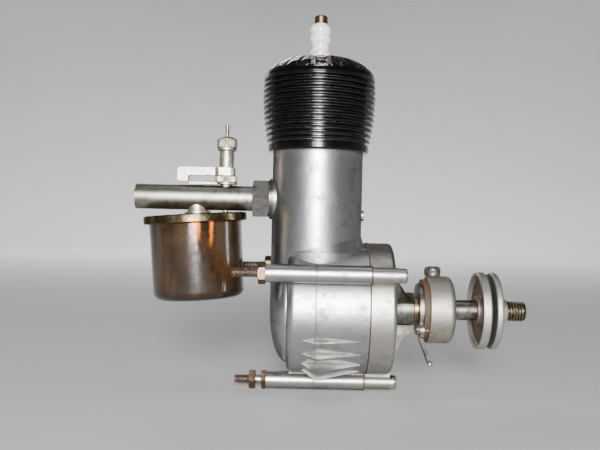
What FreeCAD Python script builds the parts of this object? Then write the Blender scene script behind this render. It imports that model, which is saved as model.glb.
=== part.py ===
"""Antique model aero engine: single cylinder, spark ignition, side port, with its timer, tank and needle valve.

Row frame: +X along the crankshaft to the propeller, +Z up the cylinder, origin on the crankshaft axis in the
plane of the three mounting studs. Lengths in the sheet that end in _x are measured forward from the cylinder
axis, those that end in _z up from the crankshaft axis. The piston rests at top dead centre.
"""

import FreeCAD, Part
import math
import os
import re

import Sketcher

V = FreeCAD.Vector

# alias, value in millimetres or degrees, meaning
SIZES = (
    ("cylinder_axis_x", 20.5, "cylinder axis ahead of the mounting plane"),
    ("running_gap", 0.03, "radial clearance of a running fit"),
    # crankcase casting
    ("drum_r", 20.6, "crankcase drum, outer radius"),
    ("drum_rear_x", -8.6, "rear shoulder of the drum"),
    ("drum_front_x", 15.8, "front face of the drum"),
    ("drum_round", 2.4, "rounding of the rear shoulder"),
    ("dome_r", 17.4, "rear dome, radius at the shoulder"),
    ("dome_depth", 5.6, "rear dome, depth behind the shoulder"),
    ("chamber_r", 17.6, "crank chamber radius"),
    ("chamber_rear_x", -6.5, "rear wall of the crank chamber"),
    ("rod_groove_r", 18.6, "groove in the chamber wall that clears the rod's big end"),
    ("rod_groove_x", 3.3, "half width of that groove"),
    ("barrel_r", 14.2, "cylinder barrel, outer radius"),
    ("barrel_low_z", 1.2, "foot of the barrel, inside the drum"),
    ("barrel_top_z", 48.6, "top of the barrel casting"),
    ("skirt_x", 1.0, "axis of the flare at the foot of the barrel"),
    ("skirt_r", 14.7, "radius of the flare"),
    ("skirt_low_z", 17.5, "bottom of the flare"),
    ("skirt_high_z", 22.6, "top of the flare"),
    ("bore_low_z", 9.0, "bottom of the bore in the casting"),
    ("lug_circle_r", 23.35, "radius of the stud circle"),
    ("lug_r", 2.7, "stud lug radius on the crankcase"),
    ("lug_rear_x", -14.8, "rear face of the lugs"),
    ("lug_web", 3.0, "width of the web under a lug"),
    ("rib_tail_x", -3.7, "rear end of a chevron rib"),
    ("rib_peak_x", 0.6, "peak of a chevron rib"),
    ("rib_nose_x", 13.9, "front end of a chevron rib"),
    ("rib_thick", 1.0, "chevron rib thickness"),
    ("intake_boss_r", 6.4, "boss round the intake hole"),
    ("intake_boss_x", -15.0, "rear face of that boss"),
    ("intake_boss_front", 11.0, "front end of the intake boss, behind the cylinder axis"),
    ("port_width", 6.4, "width of one exhaust window"),
    ("port_bridge", 1.6, "bar between the two exhaust windows"),
    ("port_low_z", 43.0, "bottom of the exhaust windows"),
    ("port_high_z", 47.4, "top of the exhaust windows"),
    ("transfer_width", 8.0, "width of the transfer passage"),
    ("transfer_depth", 0.9, "depth of the transfer passage in the casting"),
    # front cover
    ("gasket_thick", 0.4, "cover gasket"),
    ("cover_front_x", 23.8, "front face of the cover"),
    ("cover_wall", 3.2, "thickness of the front wall"),
    ("cover_lug_r", 2.3, "stud lug radius on the cover"),
    ("cover_lug_x", 24.1, "front face of those lugs"),
    ("nose_r", 5.2, "nose boss radius"),
    ("nose_front_x", 31.2, "front of the nose boss"),
    ("inner_boss_r", 7.4, "boss inside the cover"),
    ("inner_boss_x", 10.4, "rear face of the inner boss"),
    ("gusset_thick", 1.3, "thickness of a gusset"),
    # studs and nuts
    ("stud_r", 1.42, "through stud shank radius"),
    ("stud_thread_r", 1.25, "radius of the free thread"),
    ("stud_head_r", 2.15, "fillister head radius"),
    ("stud_head_long", 2.2, "fillister head length"),
    ("stud_slot", 0.55, "width of the head slot"),
    ("stud_rear_x", -24.8, "rear end of the studs"),
    ("nut_across", 5.8, "stud nut across flats"),
    ("nut_long", 2.2, "stud nut thickness"),
    ("thin_nut_across", 5.3, "bottom nuts across flats"),
    ("thin_nut_long", 1.5, "bottom nut thickness"),
    ("lock_gap", 1.9, "gap between the two bottom nuts"),
    ("lock_nut_long", 2.0, "bottom lock nut thickness"),
    # liner and jacket
    ("liner_r", 12.6, "cylinder liner outer radius"),
    ("liner_bore_r", 11.13, "cylinder bore radius"),
    ("liner_low_z", 15.2, "bottom of the liner"),
    ("liner_top_z", 62.0, "top of the liner"),
    ("intake_port_r", 2.8, "intake port in the liner"),
    ("seal_thick", 0.4, "head seal ring"),
    ("collar_r", 15.85, "plain collar of the jacket"),
    ("collar_top_z", 51.0, "top of the collar"),
    ("fin_count", 12, "number of fins"),
    ("fin_first_z", 52.1, "middle of the lowest fin"),
    ("fin_pitch", 1.727, "fin spacing"),
    ("fin_thick", 0.95, "fin thickness"),
    ("fin_r", 17.8, "largest fin radius"),
    ("fin_wide_z", 66.0, "height of the largest fin"),
    ("fin_bow", 0.0075, "loss of radius for each square of height"),
    ("fin_root_r", 14.9, "radius between the fins"),
    ("crown_low_z", 71.3, "foot of the domed crown"),
    ("crown_rise", 6.3, "height of the domed crown"),
    ("crown_flat_r", 7.9, "wall of the plug well"),
    ("crown_spread", 9.6, "width of the dome outside the well"),
    ("well_floor_z", 73.0, "seat of the spark plug"),
    ("vane_count", 22, "grooves between the crown's vanes"),
    ("vane_gap", 1.15, "width of such a groove"),
    ("vane_floor_z", 73.6, "floor of such a groove"),
    ("vane_start_r", 9.6, "inner end of such a groove"),
    ("chamber_roof_z", 64.6, "roof of the combustion chamber"),
    ("chamber_roof_r", 10.2, "radius of the combustion chamber"),
    # spark plug
    ("plug_thread_r", 4.76, "plug thread"),
    ("plug_hex_across", 12.7, "plug hexagon"),
    ("plug_washer_r", 6.3, "plug washer"),
    ("plug_washer_thick", 0.6, "plug washer"),
    ("plug_hex_top_z", 77.3, "top of the hexagon"),
    ("plug_crimp_r", 4.5, "crimped rim over the insulator"),
    ("plug_crimp_z", 78.6, "top of the crimped rim"),
    ("plug_bore_r", 3.3, "bore of the shell"),
    ("insulator_top_z", 89.7, "top of the insulator"),
    ("insulator_foot_z", 66.0, "foot of the insulator"),
    ("electrode_r", 0.6, "centre electrode"),
    ("terminal_r", 2.05, "terminal nut radius"),
    ("terminal_long", 2.4, "terminal nut height"),
    # piston, rod and crank
    ("piston_r", 11.1, "piston radius"),
    ("piston_crown_z", 61.5, "crown at top dead centre"),
    ("piston_skirt_z", 37.5, "skirt at top dead centre"),
    ("piston_wall", 1.5, "skirt wall"),
    ("piston_head", 3.5, "crown thickness"),
    ("baffle_high", 1.6, "crown baffle height"),
    ("wrist_z", 51.5, "wrist pin height at top dead centre"),
    ("wrist_r", 1.6, "wrist pin radius"),
    ("wrist_boss_r", 3.0, "wrist pin boss radius"),
    ("wrist_boss_x", 3.2, "inner face of a wrist pin boss"),
    ("throw", 9.525, "crank throw"),
    ("rod_width", 5.4, "length of the rod's eyes"),
    ("rod_big_r", 4.0, "big end radius"),
    ("rod_small_r", 3.3, "small end radius"),
    ("rod_beam_deep", 4.0, "beam depth"),
    ("rod_beam_wide", 2.6, "beam width"),
    ("crankpin_r", 2.4, "crankpin radius"),
    ("crankpin_front_x", 4.1, "front end of the crankpin"),
    ("web_r", 13.5, "crank web radius"),
    ("web_rear_x", 4.5, "rear face of the web"),
    ("web_front_x", 8.5, "front face of the web"),
    ("shaft_r", 3.175, "crankshaft radius"),
    ("thrust_thick", 0.8, "thrust washer"),
    ("thrust_r", 6.4, "thrust washer radius"),
    ("bush_r", 3.9, "main bush outer radius"),
    ("bush_rear_x", 9.9, "rear end of the main bush"),
    ("bush_front_x", 36.2, "front end of the main bush, which carries the timer"),
    ("thread_start_x", 60.9, "start of the propeller thread"),
    ("thread_end_x", 66.5, "end of the crankshaft"),
    ("prop_thread_r", 3.0, "propeller thread radius"),
    # timer
    ("lever_plate_x", 32.4, "rear face of the timer lever"),
    ("lever_plate_thick", 1.2, "timer lever thickness"),
    ("lever_plate_r", 8.2, "ring of the timer lever"),
    ("lever_reach", 18.0, "ball of the lever, from the shaft axis"),
    ("lever_arm_wide", 1.6, "width of the lever arm"),
    ("lever_bend_r", 9.9, "where the arm starts to lean, from the shaft axis"),
    ("lever_lean", 16.0, "forward lean of the lever arm, degrees"),
    ("lever_ball_r", 0.85, "ball on the lever"),
    ("lever_drop", 60.0, "arm below the near horizontal, degrees"),
    ("board_r", 9.5, "fibre board radius"),
    ("cup_rear_x", 35.2, "rear rim of the timer cup"),
    ("cup_front_x", 43.2, "front face of the timer cup"),
    ("cup_r", 10.6, "timer cup radius"),
    ("cup_wall", 1.3, "timer cup wall"),
    ("cup_round", 1.9, "front edge of the timer cup"),
    ("cup_hole_r", 3.7, "shaft hole in the cup"),
    ("cam_rear_x", 36.5, "rear face of the cam"),
    ("cam_long", 3.2, "cam length"),
    ("cam_r", 4.5, "cam lobe radius"),
    ("cam_flat", 3.7, "cam flat, from the axis"),
    ("screw_x", 37.1, "terminal screw"),
    ("terminal_head_r", 2.6, "terminal screw head"),
    ("terminal_head_high", 2.6, "terminal screw head height"),
    ("terminal_shank_r", 1.0, "terminal screw shank"),
    ("terminal_bush_r", 1.7, "insulating bush round the shank"),
    ("board_screw_r", 0.95, "screw that holds the board to the lever"),
    ("board_screw_y", 6.9, "that screw's distance to the near side"),
    ("board_screw_z", 5.7, "that screw's distance below the shaft axis"),
    ("lever_boss_r", 2.0, "boss of the lever round that screw"),
    ("point_r", 1.3, "contact point"),
    ("point_gap_z", 6.5, "height of the closed contact points"),
    ("arm_pivot_y", 6.8, "breaker arm pivot, on the far side"),
    ("arm_pivot_z", 0.4, "breaker arm pivot"),
    ("arm_pivot_r", 0.75, "breaker arm pivot pin"),
    ("arm_thick", 1.0, "breaker arm thickness"),
    # drive and propeller washers
    ("drive_rear_x", 50.9, "rear rim of the drive washer"),
    ("drive_front_x", 53.6, "front face of the drive washer"),
    ("drive_r", 12.1, "washer radius"),
    ("drive_rim", 1.1, "rim of the dished drive washer"),
    ("drive_web", 1.2, "web of the dished drive washer"),
    ("drive_hub_r", 4.6, "hub of the drive washer"),
    ("spacer_front_x", 55.1, "front of the spacer between the washers"),
    ("spacer_r", 4.2, "spacer radius"),
    ("prop_washer_x", 57.2, "front face of the propeller washer"),
    ("cone_rear_r", 4.5, "cone of the propeller washer, rear"),
    ("cone_front_r", 3.5, "cone of the propeller washer, front"),
    ("cone_front_x", 60.6, "front of that cone"),
    # intake, needle valve and tank
    ("tube_z", 33.8, "intake tube axis"),
    ("tube_r", 3.97, "intake tube radius"),
    ("tube_bore_r", 3.1, "intake tube bore"),
    ("tube_rear_x", -57.2, "open end of the intake tube"),
    ("tube_front_x", -13.3, "inner end of the intake tube"),
    ("mouth_r", 3.4, "reamed mouth of the tube"),
    ("mouth_long", 7.0, "depth of the reamed mouth"),
    ("gland_across", 11.3, "gland nut across flats"),
    ("gland_rear_x", -20.2, "rear face of the gland nut"),
    ("ferrule_long", 1.6, "ferrule in the gland nut"),
    ("ferrule_r", 4.8, "ferrule outer radius"),
    ("needle_x", -28.9, "needle valve axis"),
    ("needle_r", 0.6, "needle radius"),
    ("needle_top_z", 57.3, "top of the needle"),
    ("needle_tip_z", 33.0, "tip of the needle"),
    ("thimble_r", 3.25, "knurled thimble radius"),
    ("thimble_low_z", 48.7, "bottom of the thimble"),
    ("thimble_top_z", 53.2, "top of the thimble"),
    ("gland_body_r", 2.3, "needle valve body radius"),
    ("gland_body_neck_r", 1.9, "neck of the valve body under the lever"),
    ("lever_low_z", 40.9, "underside of the needle lever"),
    ("lever_top_z", 43.3, "top of the needle lever"),
    ("lever_tail_x", -44.3, "tail of the needle lever"),
    ("lever_nose_x", -26.0, "nose of the needle lever"),
    ("lever_foot_x", -40.9, "front of the turned-down tail"),
    ("lever_foot_z", 38.9, "bottom of the turned-down tail"),
    ("lever_wide", 5.0, "width of the needle lever"),
    ("lock_r", 3.5, "knurled lock nut radius"),
    ("lock_low_z", 38.6, "bottom of the lock nut"),
    ("lock_top_z", 40.8, "top of the lock nut"),
    ("leaf_rear_x", -40.4, "rear end of the detent leaf"),
    ("leaf_low_z", 38.1, "underside of the detent leaf"),
    ("leaf_thick", 0.45, "detent leaf thickness"),
    ("leaf_wide", 4.4, "detent leaf width"),
    ("pickup_r", 0.8, "fuel pipe radius"),
    ("pickup_foot_z", 4.6, "bottom of the fuel pipe"),
    ("tank_x", -38.5, "tank axis at the top of the lid"),
    ("tank_lean", 4.2, "lean of the tank, its foot towards the crankcase, degrees"),
    ("hanger_r", 3.2, "tank hanger boss"),
    ("hanger_flange_r", 4.1, "flange of the hanger boss"),
    ("hanger_flange_thick", 0.9, "flange of the hanger boss"),
    ("hanger_ahead", 0.8, "hanger boss ahead of the tank axis"),
    ("lid_r", 16.2, "tank lid radius"),
    ("lid_low_z", 25.9, "bottom of the tank lid"),
    ("lid_top_z", 28.4, "top of the tank lid"),
    ("lid_wall", 0.8, "tank lid wall"),
    ("tank_seal_thick", 0.5, "tank seal"),
    ("bowl_r", 14.6, "tank bowl radius at the top"),
    ("bowl_foot_r", 14.2, "tank bowl radius at the bottom"),
    ("bowl_foot_z", 2.0, "bottom of the tank bowl"),
    ("bowl_round", 2.6, "bottom edge of the tank bowl"),
    ("bowl_wall", 1.3, "tank bowl wall"),
    ("tank_screw_r", 1.4, "tank screw"),
    ("tank_nut_r", 2.9, "nut inside the tank"),
    ("tank_nut_thick", 2.2, "nut inside the tank"),
    ("liner_screw_r", 1.7, "liner screw head"),
    ("liner_screw_z", 29.2, "liner screw height"),
)
NUMBERS = {alias: value for alias, value, _ in SIZES}
WORD = re.compile(r"[a-z][a-z_]+")

# the near stud is on the -Y side; angles turn about +X from +Z
STUD_ANGLES = {"near": 60.0, "far": -60.0, "bottom": 180.0}
CHEVRON_RIBS = ((114.0, 1.7), (127.5, 2.1), (141.0, 3.2), (155.0, 3.0))

doc = FreeCAD.newDocument("model_engine")
pieces = []


def make_sheet():
    sheet = doc.addObject("Spreadsheet::Sheet", "Sizes")
    for row, (alias, value, meaning) in enumerate(SIZES, start=1):
        sheet.set(f"A{row}", meaning)
        sheet.set(f"B{row}", str(value))
        sheet.setAlias(f"B{row}", alias)
    doc.recompute()


def linked(expression):
    """The expression with every alias pointed at the sheet."""
    return WORD.sub(lambda m: "Sizes." + m.group() if m.group() in NUMBERS else m.group(), str(expression))


def number(expression):
    """The present value of an expression."""

    def value(match):
        word = match.group()
        return f"({NUMBERS[word]})" if word in NUMBERS else word

    return FreeCAD.Units.Quantity(WORD.sub(value, str(expression))).Value


def place(obj, at=(0, 0, 0), turn=None):
    """Binds an object's place: x is forward from the cylinder axis, z up from the crankshaft axis."""
    if turn is not None:
        obj.Placement.Rotation = turn
    for letter, value in zip("xyz", at):
        shift = "cylinder_axis_x + " if letter == "x" else ""
        obj.setExpression(f"Placement.Base.{letter}", linked(f"{shift}({value})"))
    return obj


def spin(axis, degrees):
    return FreeCAD.Rotation(axis, degrees)


ALONG = {
    "x": spin(V(0, 1, 0), 90),
    "y": spin(V(1, 0, 0), -90),
    "z": FreeCAD.Rotation(),
    "tank": spin(V(0, 1, 0), -NUMBERS["tank_lean"]),
}


def on_tank(height, ahead=0):
    """A point of the tank, given upright; the tank leans about the middle of its lid's top."""
    up = f"(({height}) - lid_top_z)"
    sine, cosine = "sin(tank_lean * 1 deg)", "cos(tank_lean * 1 deg)"
    x = f"tank_x + ({ahead}) * {cosine} - {up} * {sine}"
    return x, 0, f"lid_top_z + ({ahead}) * {sine} + {up} * {cosine}"


def primitive(kind, name, at, along, extra_spin=0.0, **sizes):
    obj = doc.addObject(f"Part::{kind}", name)
    for prop, expression in sizes.items():
        obj.setExpression(prop, linked(expression))
    return place(obj, at, ALONG[along].multiply(spin(V(0, 0, 1), extra_spin)))


def cylinder(name, radius, length, at=(0, 0, 0), along="z"):
    return primitive("Cylinder", name, at, along, Radius=radius, Height=length)


def cone(name, start_r, end_r, length, at=(0, 0, 0), along="z"):
    return primitive("Cone", name, at, along, Radius1=start_r, Radius2=end_r, Height=length)


def hexagon(name, across, length, at=(0, 0, 0), along="z", extra_spin=0.0):
    corner_r = f"({across}) / sqrt(3)"
    return primitive("Prism", name, at, along, extra_spin, Circumradius=corner_r, Height=length)


def ball(name, radius, at):
    return primitive("Sphere", name, at, "z", Radius=radius)


def box(name, low, high):
    """A box between two corners, each given as three expressions."""
    obj = doc.addObject("Part::Box", name)
    for prop, a, b in zip(("Length", "Width", "Height"), low, high):
        obj.setExpression(prop, linked(f"({b}) - ({a})"))
    return place(obj, low)


def joined(name, parts):
    obj = doc.addObject("Part::MultiFuse", name)
    obj.Shapes = parts
    return obj


def cut(name, base, tools):
    obj = doc.addObject("Part::Cut", name)
    obj.Base = base
    obj.Tool = tools[0] if len(tools) == 1 else joined(f"{name}_tools", tools)
    return obj


def piece(obj):
    """Marks a finished sub-part; its name is its label and its file."""
    obj.Label = obj.Name
    pieces.append(obj)
    return obj


def corner_arc(before, corner, after, radius):
    """Where a rounded corner starts and ends, its centre, and whether it turns left."""
    back = (before - corner).normalize()
    ahead = (after - corner).normalize()
    half = back.getAngle(ahead) / 2
    reach = radius / math.tan(half)
    centre = corner + (back + ahead).normalize() * (radius / math.sin(half))
    left = back.cross(ahead).z < 0
    return corner + back * reach, corner + ahead * reach, centre, left


def outline(body, role, corners):
    """A closed sketch of straight sides on one of the body's own planes. A corner is (x, y) or (x, y, round)."""
    sketch = body.newObject("Sketcher::SketchObject", f"{body.Name}_outline")
    plane = [o for o in body.Origin.OriginFeatures if o.Role == role][0]
    sketch.AttachmentSupport = [(plane, "")]
    sketch.MapMode = "FlatFace"
    count = len(corners)
    points = [V(number(c[0]), number(c[1]), 0) for c in corners]
    starts, ends = list(points), list(points)
    arcs = {}
    for i, corner in enumerate(corners):
        if len(corner) == 3:
            arc = corner_arc(points[i - 1], points[i], points[(i + 1) % count], number(corner[2]))
            ends[i - 1], starts[i] = arc[0], arc[1]
            arcs[i] = arc
        else:
            ends[i - 1] = points[i]
    for i in range(count):
        sketch.addGeometry(Part.LineSegment(starts[i], ends[i]), False)
    for i, corner in enumerate(corners):
        before = (i - 1) % count
        if i not in arcs:
            sketch.addConstraint(Sketcher.Constraint("Coincident", before, 2, i, 1))
            hold(sketch, i, points[i], corner)
            continue
        round_corner(sketch, before, i, points[i], corner, arcs[i])
    return sketch


def hold(sketch, geometry, point, corner):
    """Binds a point's two distances from the sketch's origin to the corner's expressions."""
    for kind, value, expression in (("DistanceX", point.x, corner[0]), ("DistanceY", point.y, corner[1])):
        index = sketch.addConstraint(Sketcher.Constraint(kind, -1, 1, geometry, 1, value))
        sketch.setExpression(f"Constraints[{index}]", linked(expression))


def round_corner(sketch, before, after, point, corner, arc):
    """An arc between two sides; the sharp corner stays as a construction point that holds both sides."""
    first, last, centre, left = arc
    radius = (first - centre).Length
    begin, finish = (first, last) if left else (last, first)
    angles = [math.atan2(p.y - centre.y, p.x - centre.x) for p in (begin, finish)]
    circle = Part.Circle(centre, V(0, 0, 1), radius)
    curve = sketch.addGeometry(Part.ArcOfCircle(circle, angles[0], angles[1]), False)
    near, far = (1, 2) if left else (2, 1)
    sketch.addConstraint(Sketcher.Constraint("Tangent", before, 2, curve, near))
    sketch.addConstraint(Sketcher.Constraint("Tangent", curve, far, after, 1))
    index = sketch.addConstraint(Sketcher.Constraint("Radius", curve, radius))
    sketch.setExpression(f"Constraints[{index}]", linked(corner[2]))
    sharp = sketch.addGeometry(Part.Point(point), True)
    sketch.addConstraint(Sketcher.Constraint("PointOnObject", sharp, 1, before))
    sketch.addConstraint(Sketcher.Constraint("PointOnObject", sharp, 1, after))
    hold(sketch, sharp, point, corner)


def turned(name, corners, about="z", at=(0, 0, 0), turn=None):
    """A body turned about x, with corners (x, radius), or about z, with corners (radius, z)."""
    body = doc.addObject("PartDesign::Body", name)
    sketch = outline(body, "XZ_Plane", corners)
    revolution = body.newObject("PartDesign::Revolution", f"{name}_turned")
    revolution.Profile = sketch
    revolution.ReferenceAxis = (sketch, ["H_Axis" if about == "x" else "V_Axis"])
    revolution.Angle = 360
    return place(body, at, turn)


def plate(name, role, corners, thickness, symmetric=True, at=(0, 0, 0), turn=None):
    """A body padded from an outline, evenly to both sides of its plane or to the plane's front."""
    body = doc.addObject("PartDesign::Body", name)
    sketch = outline(body, role, corners)
    pad = body.newObject("PartDesign::Pad", f"{name}_pad")
    pad.Profile = sketch
    pad.SideType = "Symmetric" if symmetric else "One side"
    pad.setExpression("Length", linked(thickness))
    return place(body, at, turn)


def stud_place(angle):
    """The y and z of a stud, as expressions."""
    return f"-lug_circle_r * sin({angle} deg)", f"lug_circle_r * cos({angle} deg)"


def about_shaft(angle):
    return spin(V(1, 0, 0), angle)


# ---------------------------------------------------------------- castings


def lug_with_web(owner, side, angle, radius, rear_x, front_x, web_rear_x):
    """One round stud lug along x, and the web that ties it to the drum."""
    y, z = stud_place(angle)
    lug = cylinder(f"{owner}_lug_{side}", radius, f"{front_x} - ({rear_x})", (rear_x, y, z), "x")
    corners = [
        (web_rear_x, "drum_r - 1.5"),
        (front_x, "drum_r - 1.5"),
        (front_x, "lug_circle_r"),
        (web_rear_x, "lug_circle_r"),
    ]
    web = plate(f"{owner}_web_{side}", "XZ_Plane", corners, "lug_web", turn=about_shaft(angle))
    return [lug, web]


def stud_holes(owner):
    """Tools for the three stud holes, through everything."""
    tools = []
    for side, angle in STUD_ANGLES.items():
        y, z = stud_place(angle)
        tools.append(cylinder(f"{owner}_hole_{side}", "stud_r", "60", ("lug_rear_x - 10", y, z), "x"))
    return tools


def chevron_ribs():
    """Thin radial ribs low on both sides, tallest at their peak and fading to nothing at both ends."""
    ribs = []
    for side, sign in (("near", 1), ("far", -1)):
        for i, (angle, height) in enumerate(CHEVRON_RIBS, start=1):
            corners = [
                ("rib_tail_x", "drum_r - 0.8"),
                ("rib_nose_x", "drum_r - 0.8"),
                ("rib_nose_x", "drum_r"),
                ("rib_peak_x", f"drum_r + {height}"),
                ("rib_tail_x", "drum_r"),
            ]
            name = f"rib_{side}_{'abcd'[i - 1]}"
            ribs.append(plate(name, "XZ_Plane", corners, "rib_thick", turn=about_shaft(sign * angle)))
    return ribs


def rear_dome():
    dome = doc.addObject("Part::Ellipsoid", "rear_dome")
    dome.setExpression("Radius1", linked("dome_depth"))
    dome.setExpression("Radius2", linked("dome_r"))
    dome.setExpression("Radius3", linked("dome_r"))
    dome.Angle1 = -90
    return place(dome, ("drum_rear_x", 0, 0), ALONG["x"])


def exhaust_windows(owner, near_y, far_y):
    """Tools for the two exhaust windows on the far side."""
    tools = []
    for side, low, high in (
        ("rear", "-(port_width + port_bridge / 2)", "-port_bridge / 2"),
        ("front", "port_bridge / 2", "port_width + port_bridge / 2"),
    ):
        corner = (low, near_y, "port_low_z")
        tools.append(box(f"{owner}_window_{side}", corner, (high, far_y, "port_high_z")))
    return tools


def make_crankcase():
    corners = [
        ("drum_rear_x", 0),
        ("drum_rear_x", "drum_r", "drum_round"),
        ("drum_front_x", "drum_r"),
        ("drum_front_x", 0),
    ]
    drum = turned("drum", corners, "x")
    barrel = cylinder("barrel", "barrel_r", "barrel_top_z - barrel_low_z", (0, 0, "barrel_low_z"))
    flare_at = ("skirt_x", 0, "skirt_low_z")
    flare = cone("barrel_flare", "skirt_r", "barrel_r - skirt_x", "skirt_high_z - skirt_low_z", flare_at)
    skirt_long = "skirt_low_z - barrel_low_z"
    skirt = cylinder("barrel_skirt", "skirt_r", skirt_long, ("skirt_x", 0, "barrel_low_z"))
    boss_long = "-intake_boss_front - intake_boss_x"
    boss = cylinder("intake_boss", "intake_boss_r", boss_long, ("intake_boss_x", 0, "tube_z"), "x")
    solids = [drum, rear_dome(), barrel, flare, skirt, boss] + chevron_ribs()
    for side, angle in STUD_ANGLES.items():
        solids += lug_with_web("case", side, angle, "lug_r", "lug_rear_x", "drum_front_x", "drum_rear_x + 1")
    depth = "drum_front_x - chamber_rear_x"
    chamber = cylinder("crank_chamber", "chamber_r", depth, ("chamber_rear_x", 0, 0), "x")
    bore = cylinder("liner_bore", "liner_r", "barrel_top_z - bore_low_z", (0, 0, "bore_low_z"))
    tube_hole = cylinder("tube_hole", "tube_r", "tube_front_x + 16", (-16, 0, "tube_z"), "x")
    gas_hole = cylinder("gas_hole", "intake_port_r", "6", ("tube_front_x - 1", 0, "tube_z"), "x")
    passage = box(
        "transfer_passage",
        ("-transfer_width / 2", "-(liner_r + transfer_depth)", "bore_low_z"),
        ("transfer_width / 2", "-(liner_r - 2)", "port_high_z - 0.4"),
    )
    screw_hole = cylinder("liner_screw_hole", "0.9", "4", ("liner_r - 1", 0, "liner_screw_z"), "x")
    spot_at = ("barrel_r - 0.1", 0, "liner_screw_z")
    spot_face = cylinder("liner_spot_face", "liner_screw_r + 0.2", "3", spot_at, "x")
    groove = cylinder("rod_groove", "rod_groove_r", "2 * rod_groove_x", ("-rod_groove_x", 0, 0), "x")
    tools = [chamber, groove, bore, tube_hole, gas_hole, passage, screw_hole, spot_face]
    tools += exhaust_windows("case", "9", "18") + stud_holes("case")
    piece(cut("crankcase", joined("crankcase_solid", solids), tools))


def gusset(side, angle):
    """A thin rib from the cover's face to the nose, with a hollowed outer edge."""
    corners = [
        ("cover_front_x - 0.8", "nose_r - 1"),
        ("nose_front_x", "nose_r - 1"),
        ("nose_front_x", "nose_r"),
        ("nose_front_x - 0.4", "nose_r + 1.85"),
        ("cover_front_x + 4.2", "nose_r + 4.1", 2.5),
        ("cover_front_x", "drum_r - 0.9"),
        ("cover_front_x - 0.8", "drum_r - 0.9"),
    ]
    return plate(f"gusset_{side}", "XZ_Plane", corners, "gusset_thick", turn=about_shaft(angle))


def make_front_cover():
    seam = "drum_front_x + gasket_thick"
    ring = turned(
        "cover_ring",
        [
            ("inner_boss_x", 0),
            ("inner_boss_x", "inner_boss_r"),
            ("cover_front_x - cover_wall", "inner_boss_r", 1.5),
            ("cover_front_x - cover_wall", "chamber_r", 1.2),
            (seam, "chamber_r"),
            (seam, "drum_r"),
            ("cover_front_x", "drum_r", 1.3),
            ("cover_front_x", "nose_r", 1.0),
            ("nose_front_x", "nose_r", 0.4),
            ("nose_front_x", 0),
        ],
        "x",
    )
    solids = [ring]
    for side, angle in STUD_ANGLES.items():
        solids += lug_with_web("cover", side, angle, "cover_lug_r", seam, "cover_lug_x", seam)
        solids.append(gusset(side, angle))
    bush_hole = cylinder("bush_hole", "bush_r", "nose_front_x", ("inner_boss_x - 1", 0, 0), "x")
    piece(cut("front_cover", joined("cover_solid", solids), [bush_hole] + stud_holes("cover")))


def make_cover_gasket():
    ring = cylinder("gasket_ring", "drum_r + 0.15", "gasket_thick", ("drum_front_x", 0, 0), "x")
    ears = []
    for side, angle in STUD_ANGLES.items():
        y, z = stud_place(angle)
        ear_at = ("drum_front_x", y, z)
        ears.append(cylinder(f"gasket_ear_{side}", "lug_r + 0.1", "gasket_thick", ear_at, "x"))
    hole = cylinder("gasket_hole", "chamber_r", "gasket_thick", ("drum_front_x", 0, 0), "x")
    piece(cut("cover_gasket", joined("gasket_solid", [ring] + ears), [hole] + stud_holes("gasket")))


# ---------------------------------------------------------------- studs, nuts and small screws


def slotted_head(name, head, slot_low, slot_high):
    """A head with its screwdriver slot cut between two corners."""
    return cut(name, head, [box(f"{name}_slot", slot_low, slot_high)])


def make_stud(side, angle, thread_x):
    """A through stud: slotted head in front, shank through the lugs, thread free behind the nut."""
    y, z = stud_place(angle)
    shank = cylinder(f"stud_shank_{side}", "stud_r", f"cover_lug_x - ({thread_x})", (thread_x, y, z), "x")
    thread = turned(
        f"stud_thread_{side}",
        [("stud_rear_x", 0), ("stud_rear_x", "stud_thread_r - 0.3"), ("stud_rear_x + 0.3", "stud_thread_r"),
         (thread_x, "stud_thread_r"), (thread_x, 0)],
        "x",
        (0, y, z),
    )
    head_end = "cover_lug_x + stud_head_long"
    head = turned(
        f"stud_cap_{side}",
        [("cover_lug_x", 0), ("cover_lug_x", "stud_head_r"), (head_end, "stud_head_r", 0.5), (head_end, 0)],
        "x",
        (0, y, z),
    )
    slotted = slotted_head(
        f"stud_head_{side}",
        head,
        (f"{head_end} - 0.9", f"{y} - stud_head_r", f"{z} - stud_slot / 2"),
        (f"{head_end} + 0.1", f"{y} + stud_head_r", f"{z} + stud_slot / 2"),
    )
    piece(joined(f"mounting_stud_{side}", [shank, thread, slotted]))


def make_hex_nut(name, across, length, hole_r, at, along, extra_spin=0.0, pockets=()):
    """A hexagon nut: a prism with both ends bevelled by a turned envelope, and a round hole."""
    blank = hexagon(f"{name}_hex", across, length, at, along, extra_spin)
    flat, reach, bevel = f"({across}) * 0.51", f"({across}) * 0.578", f"({across}) * 0.05"
    shoulder = f"({length}) - {bevel}"
    corners = [(0, 0), (flat, 0), (reach, bevel), (reach, shoulder), (flat, length), (0, length)]
    envelope = turned(f"{name}_envelope", corners, "z", at, ALONG[along])
    common = doc.addObject("Part::MultiCommon", f"{name}_solid")
    common.Shapes = [blank, envelope]
    hole = cylinder(f"{name}_hole", hole_r, length, at, along)
    piece(cut(name, common, [hole, *pockets]))


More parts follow.
